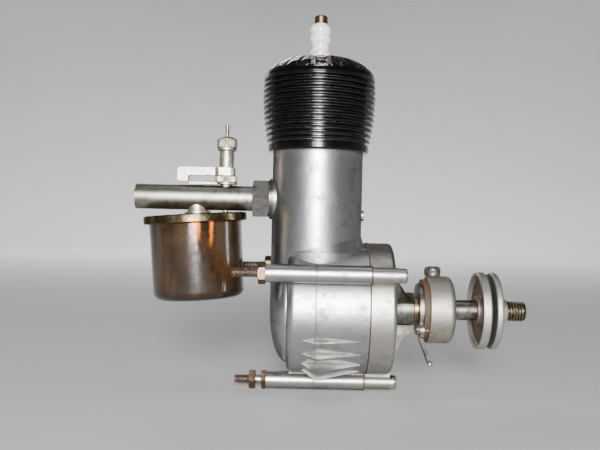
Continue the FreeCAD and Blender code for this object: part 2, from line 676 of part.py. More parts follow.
def make_studs_and_nuts():
    rear_of_nut = "lug_rear_x - nut_long"
    rear_of_thin = "lug_rear_x - thin_nut_long"
    rear_of_lock = "lug_rear_x - thin_nut_long - lock_gap - lock_nut_long"
    for side, angle in STUD_ANGLES.items():
        y, z = stud_place(angle)
        if side == "bottom":
            make_stud(side, angle, rear_of_lock)
            for name, length, rear in (
                ("stud_nut_bottom", "thin_nut_long", rear_of_thin),
                ("stud_lock_nut", "lock_nut_long", rear_of_lock),
            ):
                make_hex_nut(name, "thin_nut_across", length, "stud_r", (rear, y, z), "x", 30)
        else:
            make_stud(side, angle, rear_of_nut)
            make_hex_nut(f"stud_nut_{side}", "nut_across", "nut_long", "stud_r", (rear_of_nut, y, z), "x")


def make_liner_screw():
    head = ("barrel_r - 0.1", 0, "liner_screw_z")
    cap = cylinder("liner_screw_cap", "liner_screw_r", "0.8", head, "x")
    shank = cylinder("liner_screw_shank", "0.9", "barrel_r - liner_r", ("liner_r", 0, "liner_screw_z"), "x")
    whole = joined("liner_screw_solid", [cap, shank])
    low = ("barrel_r + 0.4", "-liner_screw_r", "liner_screw_z - 0.25")
    high = ("barrel_r + 1", "liner_screw_r", "liner_screw_z + 0.25")
    piece(cut("liner_screw", whole, [box("liner_screw_slot", low, high)]))


# ---------------------------------------------------------------- cylinder, jacket and plug


def tube_along_z(name, outer, inner, low, high):
    wall = cylinder(f"{name}_wall", outer, f"({high}) - ({low})", (0, 0, low))
    hole = cylinder(f"{name}_hole", inner, f"({high}) - ({low})", (0, 0, low))
    return wall, hole


def make_liner():
    wall, hole = tube_along_z("liner", "liner_r", "liner_bore_r", "liner_low_z", "liner_top_z")
    intake = cylinder("liner_intake", "intake_port_r", "6", ("-liner_r - 1", 0, "tube_z"), "x")
    transfer = box(
        "liner_transfer",
        ("-transfer_width / 2", "-liner_r - 1", "port_low_z + 0.4"),
        ("transfer_width / 2", "-liner_bore_r + 2", "port_high_z - 0.8"),
    )
    tools = [hole, intake, transfer] + exhaust_windows("liner", "9", "14")
    piece(cut("cylinder_liner", wall, tools))


def fin(i):
    """One cooling fin with a rounded edge; the fins are widest two thirds of the way up."""
    z = f"(fin_first_z + {i} * fin_pitch)"
    radius = f"fin_r - fin_bow * ({z} - fin_wide_z) * ({z} - fin_wide_z)"
    corners = [
        (0, f"{z} - fin_thick / 2"),
        (radius, f"{z} - fin_thick / 2", "fin_thick * 0.42"),
        (radius, f"{z} + fin_thick / 2", "fin_thick * 0.42"),
        (0, f"{z} + fin_thick / 2"),
    ]
    return turned(f"fin_{chr(ord('a') + i)}", corners)


def crown_dome():
    """The domed top: an ellipse from the well's rim down to the top fin, turned about z."""
    bulge = doc.addObject("Part::Ellipsoid", "crown_bulge")
    bulge.setExpression("Radius1", linked("crown_rise * 1.27"))
    bulge.setExpression("Radius2", linked("crown_flat_r + crown_spread"))
    bulge.setExpression("Radius3", linked("crown_flat_r + crown_spread"))
    bulge.Angle1 = 0
    place(bulge, (0, 0, "crown_low_z"))
    trim = cylinder("crown_trim", "fin_r", "crown_rise", (0, 0, "crown_low_z"))
    dome = doc.addObject("Part::MultiCommon", "crown_dome")
    dome.Shapes = [bulge, trim]
    return dome


def vane_grooves():
    """Radial grooves round the dome, which leave the vanes standing between them."""
    grooves = []
    for i in range(NUMBERS["vane_count"]):
        groove = doc.addObject("Part::Box", f"vane_groove_{chr(ord('a') + i)}")
        groove.setExpression("Length", linked("fin_r - vane_start_r + 1"))
        groove.setExpression("Width", linked("vane_gap"))
        groove.setExpression("Height", "6")
        angle = 360 * i / NUMBERS["vane_count"]
        at = (
            f"vane_start_r * cos({angle} deg) + vane_gap / 2 * sin({angle} deg)",
            f"vane_start_r * sin({angle} deg) - vane_gap / 2 * cos({angle} deg)",
            "vane_floor_z",
        )
        grooves.append(place(groove, at, spin(V(0, 0, 1), angle)))
    return grooves


def make_jacket():
    core = cylinder("jacket_core", "fin_root_r", "crown_low_z - barrel_top_z + 0.5", (0, 0, "barrel_top_z"))
    corners = [
        (0, "barrel_top_z"),
        ("collar_r", "barrel_top_z", 0.6),
        ("collar_r", "collar_top_z", 0.4),
        (0, "collar_top_z"),
    ]
    collar = turned("jacket_collar", corners)
    solids = [core, collar, crown_dome()] + [fin(i) for i in range(NUMBERS["fin_count"])]
    seal_top = "liner_top_z + seal_thick"
    bore = cylinder("jacket_bore", "liner_r", f"{seal_top} - barrel_top_z", (0, 0, "barrel_top_z"))
    chamber = cylinder("chamber", "chamber_roof_r", f"chamber_roof_z - ({seal_top})", (0, 0, seal_top))
    plug_hole = cylinder("plug_hole", "plug_thread_r", "20", (0, 0, "liner_top_z"))
    well = cylinder("plug_well", "crown_flat_r", "10", (0, 0, "well_floor_z"))
    tools = [bore, chamber, plug_hole, well] + vane_grooves()
    piece(cut("finned_jacket", joined("jacket_solid", solids), tools))


def make_head_seal():
    wall, hole = tube_along_z("seal", "liner_r", "liner_bore_r", "liner_top_z", "liner_top_z + seal_thick")
    piece(cut("head_seal", wall, [hole]))


def make_plug():
    thread_long = "well_floor_z - chamber_roof_z + 2"
    thread = cylinder("plug_thread", "plug_thread_r", thread_long, (0, 0, "chamber_roof_z"))
    hex_low = "well_floor_z + plug_washer_thick"
    nut = hexagon("plug_hex", "plug_hex_across", f"plug_hex_top_z - ({hex_low})", (0, 0, hex_low))
    crimp = cylinder("plug_crimp", "plug_crimp_r", "plug_crimp_z - plug_hex_top_z", (0, 0, "plug_hex_top_z"))
    hole = cylinder("plug_bore", "plug_bore_r", "20", (0, 0, "insulator_foot_z"))
    tip = cylinder("plug_tip_bore", "plug_thread_r - 1", "3", (0, 0, "chamber_roof_z - 1"))
    piece(cut("plug_shell", joined("plug_shell_solid", [thread, nut, crimp]), [hole, tip]))
    ring = cylinder("plug_washer_disc", "plug_washer_r", "plug_washer_thick", (0, 0, "well_floor_z"))
    eye = cylinder("plug_washer_hole", "plug_thread_r", "plug_washer_thick", (0, 0, "well_floor_z"))
    piece(cut("plug_washer", ring, [eye]))
    piece(turned("plug_insulator", insulator_outline()))


def insulator_outline():
    """Foot, body, and two ribs below the rounded top, all inside the hollow that takes the electrode."""
    top = "insulator_top_z"
    return [
        ("electrode_r", "insulator_foot_z"),
        ("plug_bore_r - 0.9", "insulator_foot_z"),
        ("plug_bore_r", "insulator_foot_z + 2"),
        ("plug_bore_r", f"{top} - 9.6"),
        (2.7, f"{top} - 8.3", 1.2),
        (2.65, f"{top} - 6.8", 0.8),
        (3.3, f"{top} - 5.6", 0.5),
        (3.3, f"{top} - 4.6", 0.5),
        (2.85, f"{top} - 3.8", 0.3),
        (3.3, f"{top} - 2.9", 0.5),
        (3.3, f"{top} - 1.7", 0.6),
        (2.0, top, 0.7),
        ("electrode_r", top),
    ]


def make_plug_ends():
    top = "insulator_top_z"
    stem = cylinder("electrode_stem", "electrode_r", f"{top} - chamber_roof_z", (0, 0, "chamber_roof_z"))
    tip = cylinder("electrode_tip", "electrode_r - 0.15", "0.6", (0, 0, "chamber_roof_z - 0.6"))
    piece(joined("plug_electrode", [stem, tip]))
    high = f"{top} + terminal_long"
    piece(turned("plug_terminal", [(0, top), ("terminal_r", top), ("terminal_r", high, 0.5), (0, high)]))


# ---------------------------------------------------------------- piston, rod and crank


def make_piston():
    solid = cylinder("piston_blank", "piston_r", "piston_crown_z - piston_skirt_z", (0, 0, "piston_skirt_z"))
    baffle = box(
        "piston_baffle",
        ("-6", "-5.6", "piston_crown_z - 0.5"),
        ("6", "-4.4", "piston_crown_z + baffle_high"),
    )
    roof = "piston_crown_z - piston_head"
    depth = f"{roof} - piston_skirt_z"
    hollow = cylinder("piston_hollow", "piston_r - piston_wall", depth, (0, 0, "piston_skirt_z"))
    shell = cut("piston_shell", joined("piston_solid", [solid, baffle]), [hollow])
    bosses = []
    for side, start in (("rear", "-(piston_r - 0.7)"), ("front", "wrist_boss_x")):
        length = "piston_r - 0.7 - wrist_boss_x"
        bosses.append(cylinder(f"wrist_boss_{side}", "wrist_boss_r", length, (start, 0, "wrist_z"), "x"))
    pin_hole = cylinder("wrist_hole", "wrist_r", "2 * piston_r", ("-piston_r", 0, "wrist_z"), "x")
    piece(cut("piston", joined("piston_bossed", [shell] + bosses), [pin_hole]))
    piece(cylinder("wrist_pin", "wrist_r", "2 * piston_r - 1", ("-(piston_r - 0.5)", 0, "wrist_z"), "x"))


def make_rod():
    rear = "-rod_width / 2"
    big = cylinder("big_end", "rod_big_r", "rod_width", (rear, 0, "throw"), "x")
    small = cylinder("small_end", "rod_small_r", "rod_width", (rear, 0, "wrist_z"), "x")
    beam = box(
        "rod_beam",
        ("-rod_beam_wide / 2", "-rod_beam_deep / 2", "throw + rod_big_r - 1"),
        ("rod_beam_wide / 2", "rod_beam_deep / 2", "wrist_z - rod_small_r + 1"),
    )
    pin_hole = cylinder("big_end_hole", "crankpin_r", "rod_width", (rear, 0, "throw"), "x")
    wrist_hole = cylinder("small_end_hole", "wrist_r + running_gap", "rod_width", (rear, 0, "wrist_z"), "x")
    piece(cut("connecting_rod", joined("rod_solid", [big, small, beam]), [pin_hole, wrist_hole]))
    start = "-rod_width / 2 - 0.6"
    piece(cylinder("crankpin", "crankpin_r", f"crankpin_front_x - ({start})", (start, 0, "throw"), "x"))


def make_crankshaft():
    web = cylinder("crank_web", "web_r", "web_front_x - web_rear_x", ("web_rear_x", 0, 0), "x")
    scallops = []
    for side, sign in (("near", -1), ("far", 1)):
        low, high = sorted((sign * 5.6, sign * 16.0))
        corner = ("web_rear_x", f"{low}", "3.6")
        scallops.append(box(f"web_scallop_{side}", corner, ("web_front_x", f"{high}", "16")))
    journal = cylinder("journal", "shaft_r", "thread_start_x - 0.6 - web_front_x", ("web_front_x", 0, 0), "x")
    relief = cylinder("thread_relief", "prop_thread_r - 0.4", "0.6", ("thread_start_x - 0.6", 0, 0), "x")
    corners = [
        ("thread_start_x", 0),
        ("thread_start_x", "prop_thread_r"),
        ("thread_end_x - 0.5", "prop_thread_r"),
        ("thread_end_x", "prop_thread_r - 0.6"),
        ("thread_end_x", 0),
    ]
    thread = turned("prop_thread", corners, "x")
    piece(joined("crankshaft", [cut("crank_disc", web, scallops), journal, relief, thread]))


def ring_along_x(name, outer, inner, rear, front):
    length = f"({front}) - ({rear})"
    wall = cylinder(f"{name}_wall", outer, length, (rear, 0, 0), "x")
    hole = cylinder(f"{name}_hole", inner, length, (rear, 0, 0), "x")
    piece(cut(name, wall, [hole]))


def make_shaft_rings():
    ring_along_x("main_bush", "bush_r", "shaft_r + running_gap", "bush_rear_x", "bush_front_x")
    ring_along_x("thrust_washer", "thrust_r", "shaft_r", "web_front_x", "web_front_x + thrust_thick")
    ring_along_x("washer_spacer", "spacer_r", "shaft_r", "drive_front_x", "spacer_front_x")


def make_cam():
    disc = cylinder("cam_disc", "cam_r", "cam_long", ("cam_rear_x", 0, 0), "x")
    hole = cylinder("cam_hole", "shaft_r", "cam_long", ("cam_rear_x", 0, 0), "x")
    flat = box("cam_flat_cut", ("cam_rear_x", "-cam_r", "-cam_r"), ("cam_rear_x + cam_long", "cam_r", "-cam_flat"))
    piece(cut("timer_cam", disc, [hole, flat]))


def make_drive_washer():
    corners = [
        ("drive_rear_x", "shaft_r"),
        ("drive_rear_x", "drive_hub_r", 0.3),
        ("drive_front_x - drive_web", "drive_hub_r", 0.5),
        ("drive_front_x - drive_web", "drive_r - drive_rim", 0.6),
        ("drive_rear_x", "drive_r - drive_rim", 0.2),
        ("drive_rear_x", "drive_r", 0.35),
        ("drive_front_x", "drive_r", 0.6),
        ("drive_front_x", "shaft_r"),
    ]
    piece(turned("drive_washer", corners, "x"))


def make_prop_washer():
    corners = [
        ("spacer_front_x", "shaft_r"),
        ("spacer_front_x", "drive_r", 0.6),
        ("prop_washer_x", "drive_r", 0.8),
        ("prop_washer_x", "cone_rear_r", 0.4),
        ("cone_front_x", "cone_front_r", 0.2),
        ("cone_front_x", "shaft_r"),
    ]
    piece(turned("prop_washer", corners, "x"))


# ---------------------------------------------------------------- timer


def make_timer_lever():
    """A ring clamped round the main bush; its arm runs straight past the board, then leans forward to a ball."""
    ring = cylinder("lever_ring", "lever_plate_r", "lever_plate_thick", ("lever_plate_x", 0, 0), "x")
    hole = cylinder("lever_hole", "bush_r + running_gap", "lever_plate_thick", ("lever_plate_x", 0, 0), "x")
    straight = lever_arm("lever_arm_root", "lever_plate_r - 2.5", "lever_bend_r + 0.4", 0)
    leaning = lever_arm("lever_arm_tip", "lever_bend_r", "lever_reach", NUMBERS["lever_lean"])
    boss = cylinder("lever_screw_boss", "lever_boss_r", "lever_plate_thick", screw_place(0), "x")
    solid = joined("timer_lever_solid", [ring, straight, leaning, boss])
    piece(cut("timer_lever", solid, [hole, lever_screw_hole()]))
    sink = "(lever_reach + lever_ball_r * 0.6 - lever_bend_r)"
    out = f"lever_bend_r + {sink} * cos(lever_lean * 1 deg)"
    ahead = f"lever_plate_x + lever_plate_thick / 2 + {sink} * sin(lever_lean * 1 deg)"
    across, up = lever_line(out)
    tip = ball("lever_ball_solid", "lever_ball_r", (ahead, across, up))
    piece(cut("timer_lever_ball", tip, [leaning]))


def lever_line(radius):
    """The point of the lever's middle line at a distance from the shaft axis, as y and z."""
    return f"-({radius}) * cos(lever_drop * 1 deg)", f"-({radius}) * sin(lever_drop * 1 deg)"


def lever_arm(name, near, far, lean):
    """A flat bar along the lever's middle line from one radius to another, leaning forward by an angle."""
    arm = box(
        name,
        ("0", "-lever_arm_wide / 2", "0"),
        ("lever_plate_thick", "lever_arm_wide / 2", f"{far} - ({near})"),
    )
    across, up = lever_line(near)
    side_y = "lever_arm_wide / 2 * sin(lever_drop * 1 deg)"
    side_z = "lever_arm_wide / 2 * cos(lever_drop * 1 deg)"
    turn = about_shaft(90 + NUMBERS["lever_drop"]).multiply(spin(V(0, 1, 0), lean))
    return place(arm, ("lever_plate_x", f"{across} + {side_y}", f"{up} - {side_z}"), turn)


def screw_place(ahead):
    """The board screw's axis, a little ahead of the lever's rear face."""
    return f"lever_plate_x + ({ahead})", "-board_screw_y", "-board_screw_z"


def lever_screw_hole():
    return cylinder("lever_screw_hole", "board_screw_r - 0.2", "4", screw_place(-1), "x")


def make_board_screw():
    length = "cup_rear_x - lever_plate_x"
    shank = cylinder("board_screw_shank", "board_screw_r - 0.2", length, screw_place(0), "x")
    head = cylinder("board_screw_head", "board_screw_r + 0.55", "1.0", screw_place(-1), "x")
    slot = box(
        "board_screw_slot",
        ("lever_plate_x - 1.1", "-board_screw_y - 2", "-board_screw_z - 0.25"),
        ("lever_plate_x - 0.5", "-board_screw_y + 2", "-board_screw_z + 0.25"),
    )
    piece(cut("board_screw", joined("board_screw_solid", [shank, head]), [slot]))


def make_board():
    rear = "lever_plate_x + lever_plate_thick"
    disc = cylinder("board_disc", "board_r", f"cup_rear_x - ({rear})", (rear, 0, 0), "x")
    hole = cylinder("board_hole", "bush_r + running_gap", f"cup_rear_x - ({rear})", (rear, 0, 0), "x")
    piece(cut("timer_board", disc, [hole, lever_screw_hole()]))


def make_cup():
    corners = [
        ("cup_rear_x", "cup_r - cup_wall"),
        ("cup_rear_x", "cup_r", 0.4),
        ("cup_front_x", "cup_r", "cup_round"),
        ("cup_front_x", "cup_hole_r"),
        ("cup_front_x - cup_wall", "cup_hole_r"),
        ("cup_front_x - cup_wall", "cup_r - cup_wall", 0.8),
    ]
    shell = turned("cup_shell", corners, "x")
    top = cylinder("cup_screw_hole", "terminal_bush_r", "6", ("screw_x", 0, "cup_r - 3"))
    piece(cut("timer_cup", shell, [top]))


def make_terminal():
    """The insulated terminal screw on top of the cup, which carries the fixed contact inside."""
    seat = "cup_r + 0.5"
    top = f"{seat} + terminal_head_high"
    corners = [(0, seat), ("terminal_head_r", seat), ("terminal_head_r", top, 1.1), (0, top)]
    head = turned("terminal_cap", corners, at=("screw_x", 0, 0))
    low = ("screw_x - 3", "-0.35", f"{top} - 0.9")
    slotted = slotted_head("terminal_head", head, low, ("screw_x + 3", "0.35", f"{top} + 1"))
    foot = "point_gap_z + 0.7"
    shank = cylinder("terminal_shank", "terminal_shank_r", f"{seat} - ({foot})", ("screw_x", 0, foot))
    piece(joined("terminal_screw", [slotted, shank]))
    sleeve_foot = "cup_r - cup_wall - 0.4"
    sleeve = cylinder("bush_sleeve", "terminal_bush_r", f"{seat} - ({sleeve_foot})", ("screw_x", 0, sleeve_foot))
    flange = cylinder("bush_flange", "terminal_bush_r + 0.7", "0.5", ("screw_x", 0, "cup_r"))
    hole = cylinder("bush_bore", "terminal_shank_r", "6", ("screw_x", 0, "cup_r - 3"))
    piece(cut("terminal_bush", joined("terminal_bush_solid", [sleeve, flange]), [hole]))
    piece(cylinder("fixed_contact", "point_r", "0.7", ("screw_x", 0, "point_gap_z")))


def make_breaker():
    """The sprung breaker arm: an eye on its pivot, a cranked blade over the cam, and the moving contact."""
    rear, wide = "screw_x - 1.3", "3.0"
    blade_top = "point_gap_z - 0.7"
    blade_low = f"{blade_top} - arm_thick + 0.2"
    eye = cylinder("arm_eye", "arm_pivot_r + 0.7", wide, (rear, "arm_pivot_y", "arm_pivot_z"), "x")
    corners = [
        (-2.2, blade_low),
        (4.3, blade_low),
        ("arm_pivot_y - 0.8", 2.4),
        ("arm_pivot_y - 0.8", "arm_pivot_z"),
        ("arm_pivot_y + 0.9", "arm_pivot_z"),
        ("arm_pivot_y + 0.8", 2.5),
        (4.7, blade_top),
        (-2.2, blade_top),
    ]
    blade = plate("arm_blade", "YZ_Plane", corners, wide, symmetric=False, at=(rear, 0, 0))
    pivot = (rear, "arm_pivot_y", "arm_pivot_z")
    hole = cylinder("arm_hole", "arm_pivot_r + running_gap", wide, pivot, "x")
    piece(cut("breaker_arm", joined("breaker_solid", [eye, blade]), [hole]))
    piece(cylinder("moving_contact", "point_r", "0.6", ("screw_x", 0, blade_top)))
    long = "screw_x + 2.4 - cup_rear_x"
    piece(cylinder("breaker_pivot", "arm_pivot_r", long, ("cup_rear_x", "arm_pivot_y", "arm_pivot_z"), "x"))
    strip = [(-4.6, -8.0), (4.0, -5.9), (4.0, -5.6), (-4.6, -7.7)]
    piece(plate("breaker_spring", "YZ_Plane", strip, "2.0", symmetric=False, at=("cup_rear_x", 0, 0)))


# ---------------------------------------------------------------- intake, needle valve and tank


def make_intake_tube():
    tube = cylinder("tube_wall", "tube_r", "tube_front_x - tube_rear_x", ("tube_rear_x", 0, "tube_z"), "x")
    bore = cylinder("tube_bore", "tube_bore_r", "tube_front_x - tube_rear_x", ("tube_rear_x", 0, "tube_z"), "x")
    mouth = cylinder("tube_mouth", "mouth_r", "mouth_long", ("tube_rear_x", 0, "tube_z"), "x")
    valve = cylinder("tube_valve_hole", "gland_body_neck_r", "8", ("needle_x", 0, "tube_z"))
    pipe = cylinder("tube_pipe_hole", "pickup_r", "8", ("needle_x", 0, "tube_z - 8"))
    screw = cylinder("tube_screw_hole", "tank_screw_r", "8", on_tank("tube_z - 8"), "tank")
    piece(cut("intake_tube", tube, [bore, mouth, valve, pipe, screw]))


def make_gland():
    length = "intake_boss_x - gland_rear_x"
    ferrule_at = ("intake_boss_x - ferrule_long", 0, "tube_z")
    pocket = cylinder("gland_pocket", "ferrule_r", "ferrule_long", ferrule_at, "x")
    at = ("gland_rear_x", 0, "tube_z")
    make_hex_nut("gland_nut", "gland_across", length, "tube_r", at, "x", 30, [pocket])
    wall = cylinder("ferrule_wall", "ferrule_r", "ferrule_long", ferrule_at, "x")
    hole = cylinder("ferrule_hole", "tube_r", "ferrule_long", ferrule_at, "x")
    piece(cut("gland_ferrule", wall, [hole]))


def make_needle_valve():
    """The valve body stands in the tube's wall; its neck carries the lock nut, the leaf and the lever."""
    foot = "tube_z + tube_bore_r"
    neck = cylinder("valve_neck", "gland_body_neck_r", f"lever_top_z + 0.2 - ({foot})", ("needle_x", 0, foot))
    top_at = ("needle_x", 0, "lever_top_z + 0.2")
    top = cylinder("valve_top", "gland_body_r", "thimble_low_z - lever_top_z - 0.3", top_at)
    hole = cylinder("valve_bore", "needle_r + running_gap", "30", ("needle_x", 0, "tube_z"))
    piece(cut("needle_valve_body", joined("valve_solid", [neck, top]), [hole]))
    long = "needle_top_z - needle_tip_z - 2"
    stem = cylinder("needle_stem", "needle_r", long, ("needle_x", 0, "needle_tip_z + 2"))
    tip = cone("needle_tip", "0.15", "needle_r", "2", ("needle_x", 0, "needle_tip_z"))
    piece(joined("needle", [stem, tip]))
    corners = [
        ("needle_r", "thimble_low_z"),
        ("thimble_r", "thimble_low_z", 0.3),
        ("thimble_r", "thimble_top_z", 1.0),
        ("needle_r", "thimble_top_z"),
    ]
    piece(turned("needle_thimble", corners, at=("needle_x", 0, 0)))


def make_lock_nut():
    corners = [
        ("gland_body_neck_r", "lock_low_z"),
        ("lock_r", "lock_low_z", 0.3),
        ("lock_r", "lock_top_z", 0.3),
        ("gland_body_neck_r", "lock_top_z"),
    ]
    piece(turned("valve_lock_nut", corners, at=("needle_x", 0, 0)))


def make_leaf():
    """A thin springy leaf held under the lock nut, which steadies the lever above it."""
    strip = box(
        "leaf_strip",
        ("leaf_rear_x", "-leaf_wide / 2", "leaf_low_z"),
        ("needle_x", "leaf_wide / 2", "leaf_low_z + leaf_thick"),
    )
    eye = cylinder("leaf_eye", "lock_r", "leaf_thick", ("needle_x", 0, "leaf_low_z"))
    hole = cylinder("leaf_hole", "gland_body_neck_r", "leaf_thick", ("needle_x", 0, "leaf_low_z"))
    piece(cut("detent_leaf", joined("leaf_solid", [strip, eye]), [hole]))


def make_needle_lever():
    """The arm with its tail turned down and its nose split and pinched round the valve neck."""
    corners = [
        ("lever_tail_x", "lever_foot_z", 0.8),
        ("lever_tail_x", "lever_top_z", 1.3),
        ("lever_nose_x", "lever_top_z", 0.5),
        ("lever_nose_x", "lever_low_z", 0.3),
        ("lever_foot_x", "lever_low_z", 0.8),
        ("lever_foot_x", "lever_foot_z", 0.4),
    ]
    side = plate("lever_side", "XZ_Plane", corners, "lever_wide")
    reach = "lever_nose_x - needle_x"
    plan = [
        ("lever_tail_x - 1", "-lever_wide / 2 + 1.0"),
        ("needle_x - 3.5", "-lever_wide / 2 + 0.7"),
        ("needle_x - 2.2", "-lever_wide / 2"),
        ("lever_nose_x", "-lever_wide / 2", f"({reach}) * 0.6"),
        ("lever_nose_x", "lever_wide / 2", f"({reach}) * 0.6"),
        ("needle_x - 2.2", "lever_wide / 2"),
        ("needle_x - 3.5", "lever_wide / 2 - 0.7"),
        ("lever_tail_x - 1", "lever_wide / 2 - 1.0"),
    ]
    top = plate("lever_plan", "XY_Plane", plan, "12", symmetric=False, at=(0, 0, "lever_foot_z - 1"))
    common = doc.addObject("Part::MultiCommon", "lever_blank")
    common.Shapes = [side, top]
    hole = cylinder("lever_eye", "gland_body_neck_r + running_gap", "6", ("needle_x", 0, "lever_low_z - 1"))
    high = ("lever_nose_x + 1", "0.3", "lever_top_z + 1")
    split = box("lever_split", ("needle_x", "-0.3", "lever_low_z - 1"), high)
    piece(cut("needle_lever", common, [hole, split]))


def make_fuel_pipe():
    top = "tube_z - tube_bore_r + 2.2"
    wall = cylinder("pipe_wall", "pickup_r", f"{top} - pickup_foot_z", ("needle_x", 0, "pickup_foot_z"))
    hole = cylinder("pipe_hole", "pickup_r / 2", f"{top} - pickup_foot_z", ("needle_x", 0, "pickup_foot_z"))
    piece(cut("fuel_pipe", wall, [hole]))


def make_tank_hanger():
    """The boss that the tank hangs from: a flange on the lid and a saddle up against the tube."""
    foot = on_tank("lid_top_z", "hanger_ahead")
    flange = cylinder("hanger_flange", "hanger_flange_r", "hanger_flange_thick", foot, "tank")
    boss = cylinder("hanger_boss", "hanger_r", "tube_z - 2 - lid_top_z", foot, "tank")
    tube = cylinder("hanger_saddle", "tube_r", "20", ("tank_x - 10", 0, "tube_z"), "x")
    screw = cylinder("hanger_hole", "tank_screw_r", "8", on_tank("lid_top_z - 1"), "tank")
    piece(cut("tank_hanger", joined("hanger_solid", [flange, boss]), [tube, screw]))


def make_tank_screw():
    """The screw that holds the tank up to the tube, and its nut inside the lid."""
    foot = "lid_top_z - lid_wall - 2.6"
    shank_long = f"tube_z - tube_bore_r - ({foot})"
    piece(cylinder("tank_screw", "tank_screw_r", shank_long, on_tank(foot), "tank"))
    nut_at = on_tank("lid_top_z - lid_wall - tank_nut_thick")
    make_hex_nut("tank_nut", "2 * tank_nut_r", "tank_nut_thick", "tank_screw_r", nut_at, "tank")


def make_tank_lid():
    corners = [
        (0, "lid_top_z"),
        ("lid_r", "lid_top_z", 0.5),
        ("lid_r", "lid_low_z", 0.2),
        ("lid_r - lid_wall", "lid_low_z", 0.2),
        ("lid_r - lid_wall", "lid_top_z - lid_wall"),
        (0, "lid_top_z - lid_wall"),
    ]
    shell = turned("lid_shell", corners, at=on_tank(0), turn=ALONG["tank"])
    pipe = cylinder("lid_pipe_hole", "pickup_r", "8", ("needle_x", 0, "lid_low_z - 2"))
    screw = cylinder("lid_screw_hole", "tank_screw_r", "8", on_tank("lid_low_z - 2"), "tank")
    piece(cut("tank_lid", shell, [pipe, screw]))


def make_tank_bowl():
    """A straight-sided bowl with a small flange at its rim, closed by the seal under the lid."""
    rim = "lid_top_z - lid_wall - tank_seal_thick"
    corners = [
        (0, "bowl_foot_z"),
        ("bowl_foot_r", "bowl_foot_z", "bowl_round"),
        ("bowl_r", "lid_low_z - 0.4"),
        ("lid_r - lid_wall", "lid_low_z - 0.1", 0.2),
        ("lid_r - lid_wall", rim),
        ("bowl_r - bowl_wall", rim),
        ("bowl_foot_r - bowl_wall", "bowl_foot_z + bowl_wall", "bowl_round - 0.8"),
        (0, "bowl_foot_z + bowl_wall"),
    ]
    piece(turned("tank_bowl", corners, at=on_tank(0), turn=ALONG["tank"]))
    wall = cylinder("tank_seal_wall", "lid_r - lid_wall", "tank_seal_thick", on_tank(rim), "tank")
    hole = cylinder("tank_seal_hole", "bowl_r - bowl_wall", "tank_seal_thick", on_tank(rim), "tank")
    piece(cut("tank_seal", wall, [hole]))


# ---------------------------------------------------------------- building and writing


def make_all():
    make_sheet()
    make_crankcase()
    make_front_cover()
    make_cover_gasket()
    make_studs_and_nuts()
    make_liner_screw()
    make_liner()
    make_jacket()
    make_head_seal()
    make_plug()
    make_plug_ends()
    make_piston()
    make_rod()
    make_crankshaft()
    make_shaft_rings()
    make_cam()
    make_drive_washer()
    make_prop_washer()
    make_timer_lever()
    make_board_screw()
    make_board()
    make_cup()
    make_terminal()
    make_breaker()
    make_intake_tube()
    make_gland()
    make_needle_valve()
    make_lock_nut()
    make_leaf()
    make_needle_lever()
    make_fuel_pipe()
    make_tank_hanger()
    make_tank_screw()
    make_tank_lid()
    make_tank_bowl()
    doc.recompute()


def check_all():
    """Stops the script if any object failed, or any sub-part is empty or broken."""
    for obj in doc.Objects:
        if "Invalid" in obj.State or "Error" in obj.State:
            raise RuntimeError(f"{obj.Name} failed: {obj.State}")
    for obj in pieces:
        shape = obj.Shape
        if shape.isNull() or not shape.isValid() or not shape.Solids:
            raise RuntimeError(f"{obj.Label} has no sound shape")
        print(f"{obj.Label}: {len(shape.Solids)} solid, {shape.Volume:.2f} mm3")


def write_all():
    os.makedirs("parts", exist_ok=True)
    for obj in pieces:
        obj.Shape.exportStep(f"parts/{obj.Label}.step")


make_all()
check_all()
write_all()
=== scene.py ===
import math

import bmesh
import bpy
import numpy as np
from mathutils import Matrix, Vector


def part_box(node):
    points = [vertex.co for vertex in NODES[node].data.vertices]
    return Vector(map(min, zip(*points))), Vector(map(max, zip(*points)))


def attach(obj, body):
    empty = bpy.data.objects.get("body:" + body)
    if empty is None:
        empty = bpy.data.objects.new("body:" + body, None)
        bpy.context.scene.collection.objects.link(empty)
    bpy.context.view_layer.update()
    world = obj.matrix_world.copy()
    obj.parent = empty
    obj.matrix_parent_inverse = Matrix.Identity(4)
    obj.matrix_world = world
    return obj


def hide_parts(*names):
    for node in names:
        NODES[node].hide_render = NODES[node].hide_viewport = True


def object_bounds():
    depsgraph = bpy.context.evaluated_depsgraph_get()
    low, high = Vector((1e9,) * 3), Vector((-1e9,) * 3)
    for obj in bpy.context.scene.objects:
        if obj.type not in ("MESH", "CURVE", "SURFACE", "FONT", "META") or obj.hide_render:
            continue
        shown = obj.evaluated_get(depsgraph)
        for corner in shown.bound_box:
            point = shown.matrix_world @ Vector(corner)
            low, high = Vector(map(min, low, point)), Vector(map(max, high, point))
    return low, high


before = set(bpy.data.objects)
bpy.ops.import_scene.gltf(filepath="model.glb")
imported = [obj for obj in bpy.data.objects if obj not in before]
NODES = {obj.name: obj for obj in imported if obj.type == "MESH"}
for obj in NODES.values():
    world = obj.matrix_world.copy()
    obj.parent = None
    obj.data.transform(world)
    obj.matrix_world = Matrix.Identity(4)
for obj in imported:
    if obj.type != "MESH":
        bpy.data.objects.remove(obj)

CAD_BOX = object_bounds()
SIDES = ("near", "far", "bottom")
MM = 0.001
INCH = 25.4 * MM
PROPELLER_PITCH = INCH / 28
STUD_PITCH = INCH / 40
SHARP = math.radians(35)    # edges sharper than this show as edges on the new pieces

# ---------------------------------------------------------------- places, read from the frame


def middle(node):
    """The middle of a CAD node's box."""
    low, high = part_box(node)
    return (low + high) / 2


CYLINDER = middle("cylinder_liner")
NEEDLE = middle("needle_thimble")
TANK = middle("tank_bowl")
CROWN_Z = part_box("plug_washer")[0].z


# ---------------------------------------------------------------- making finishes


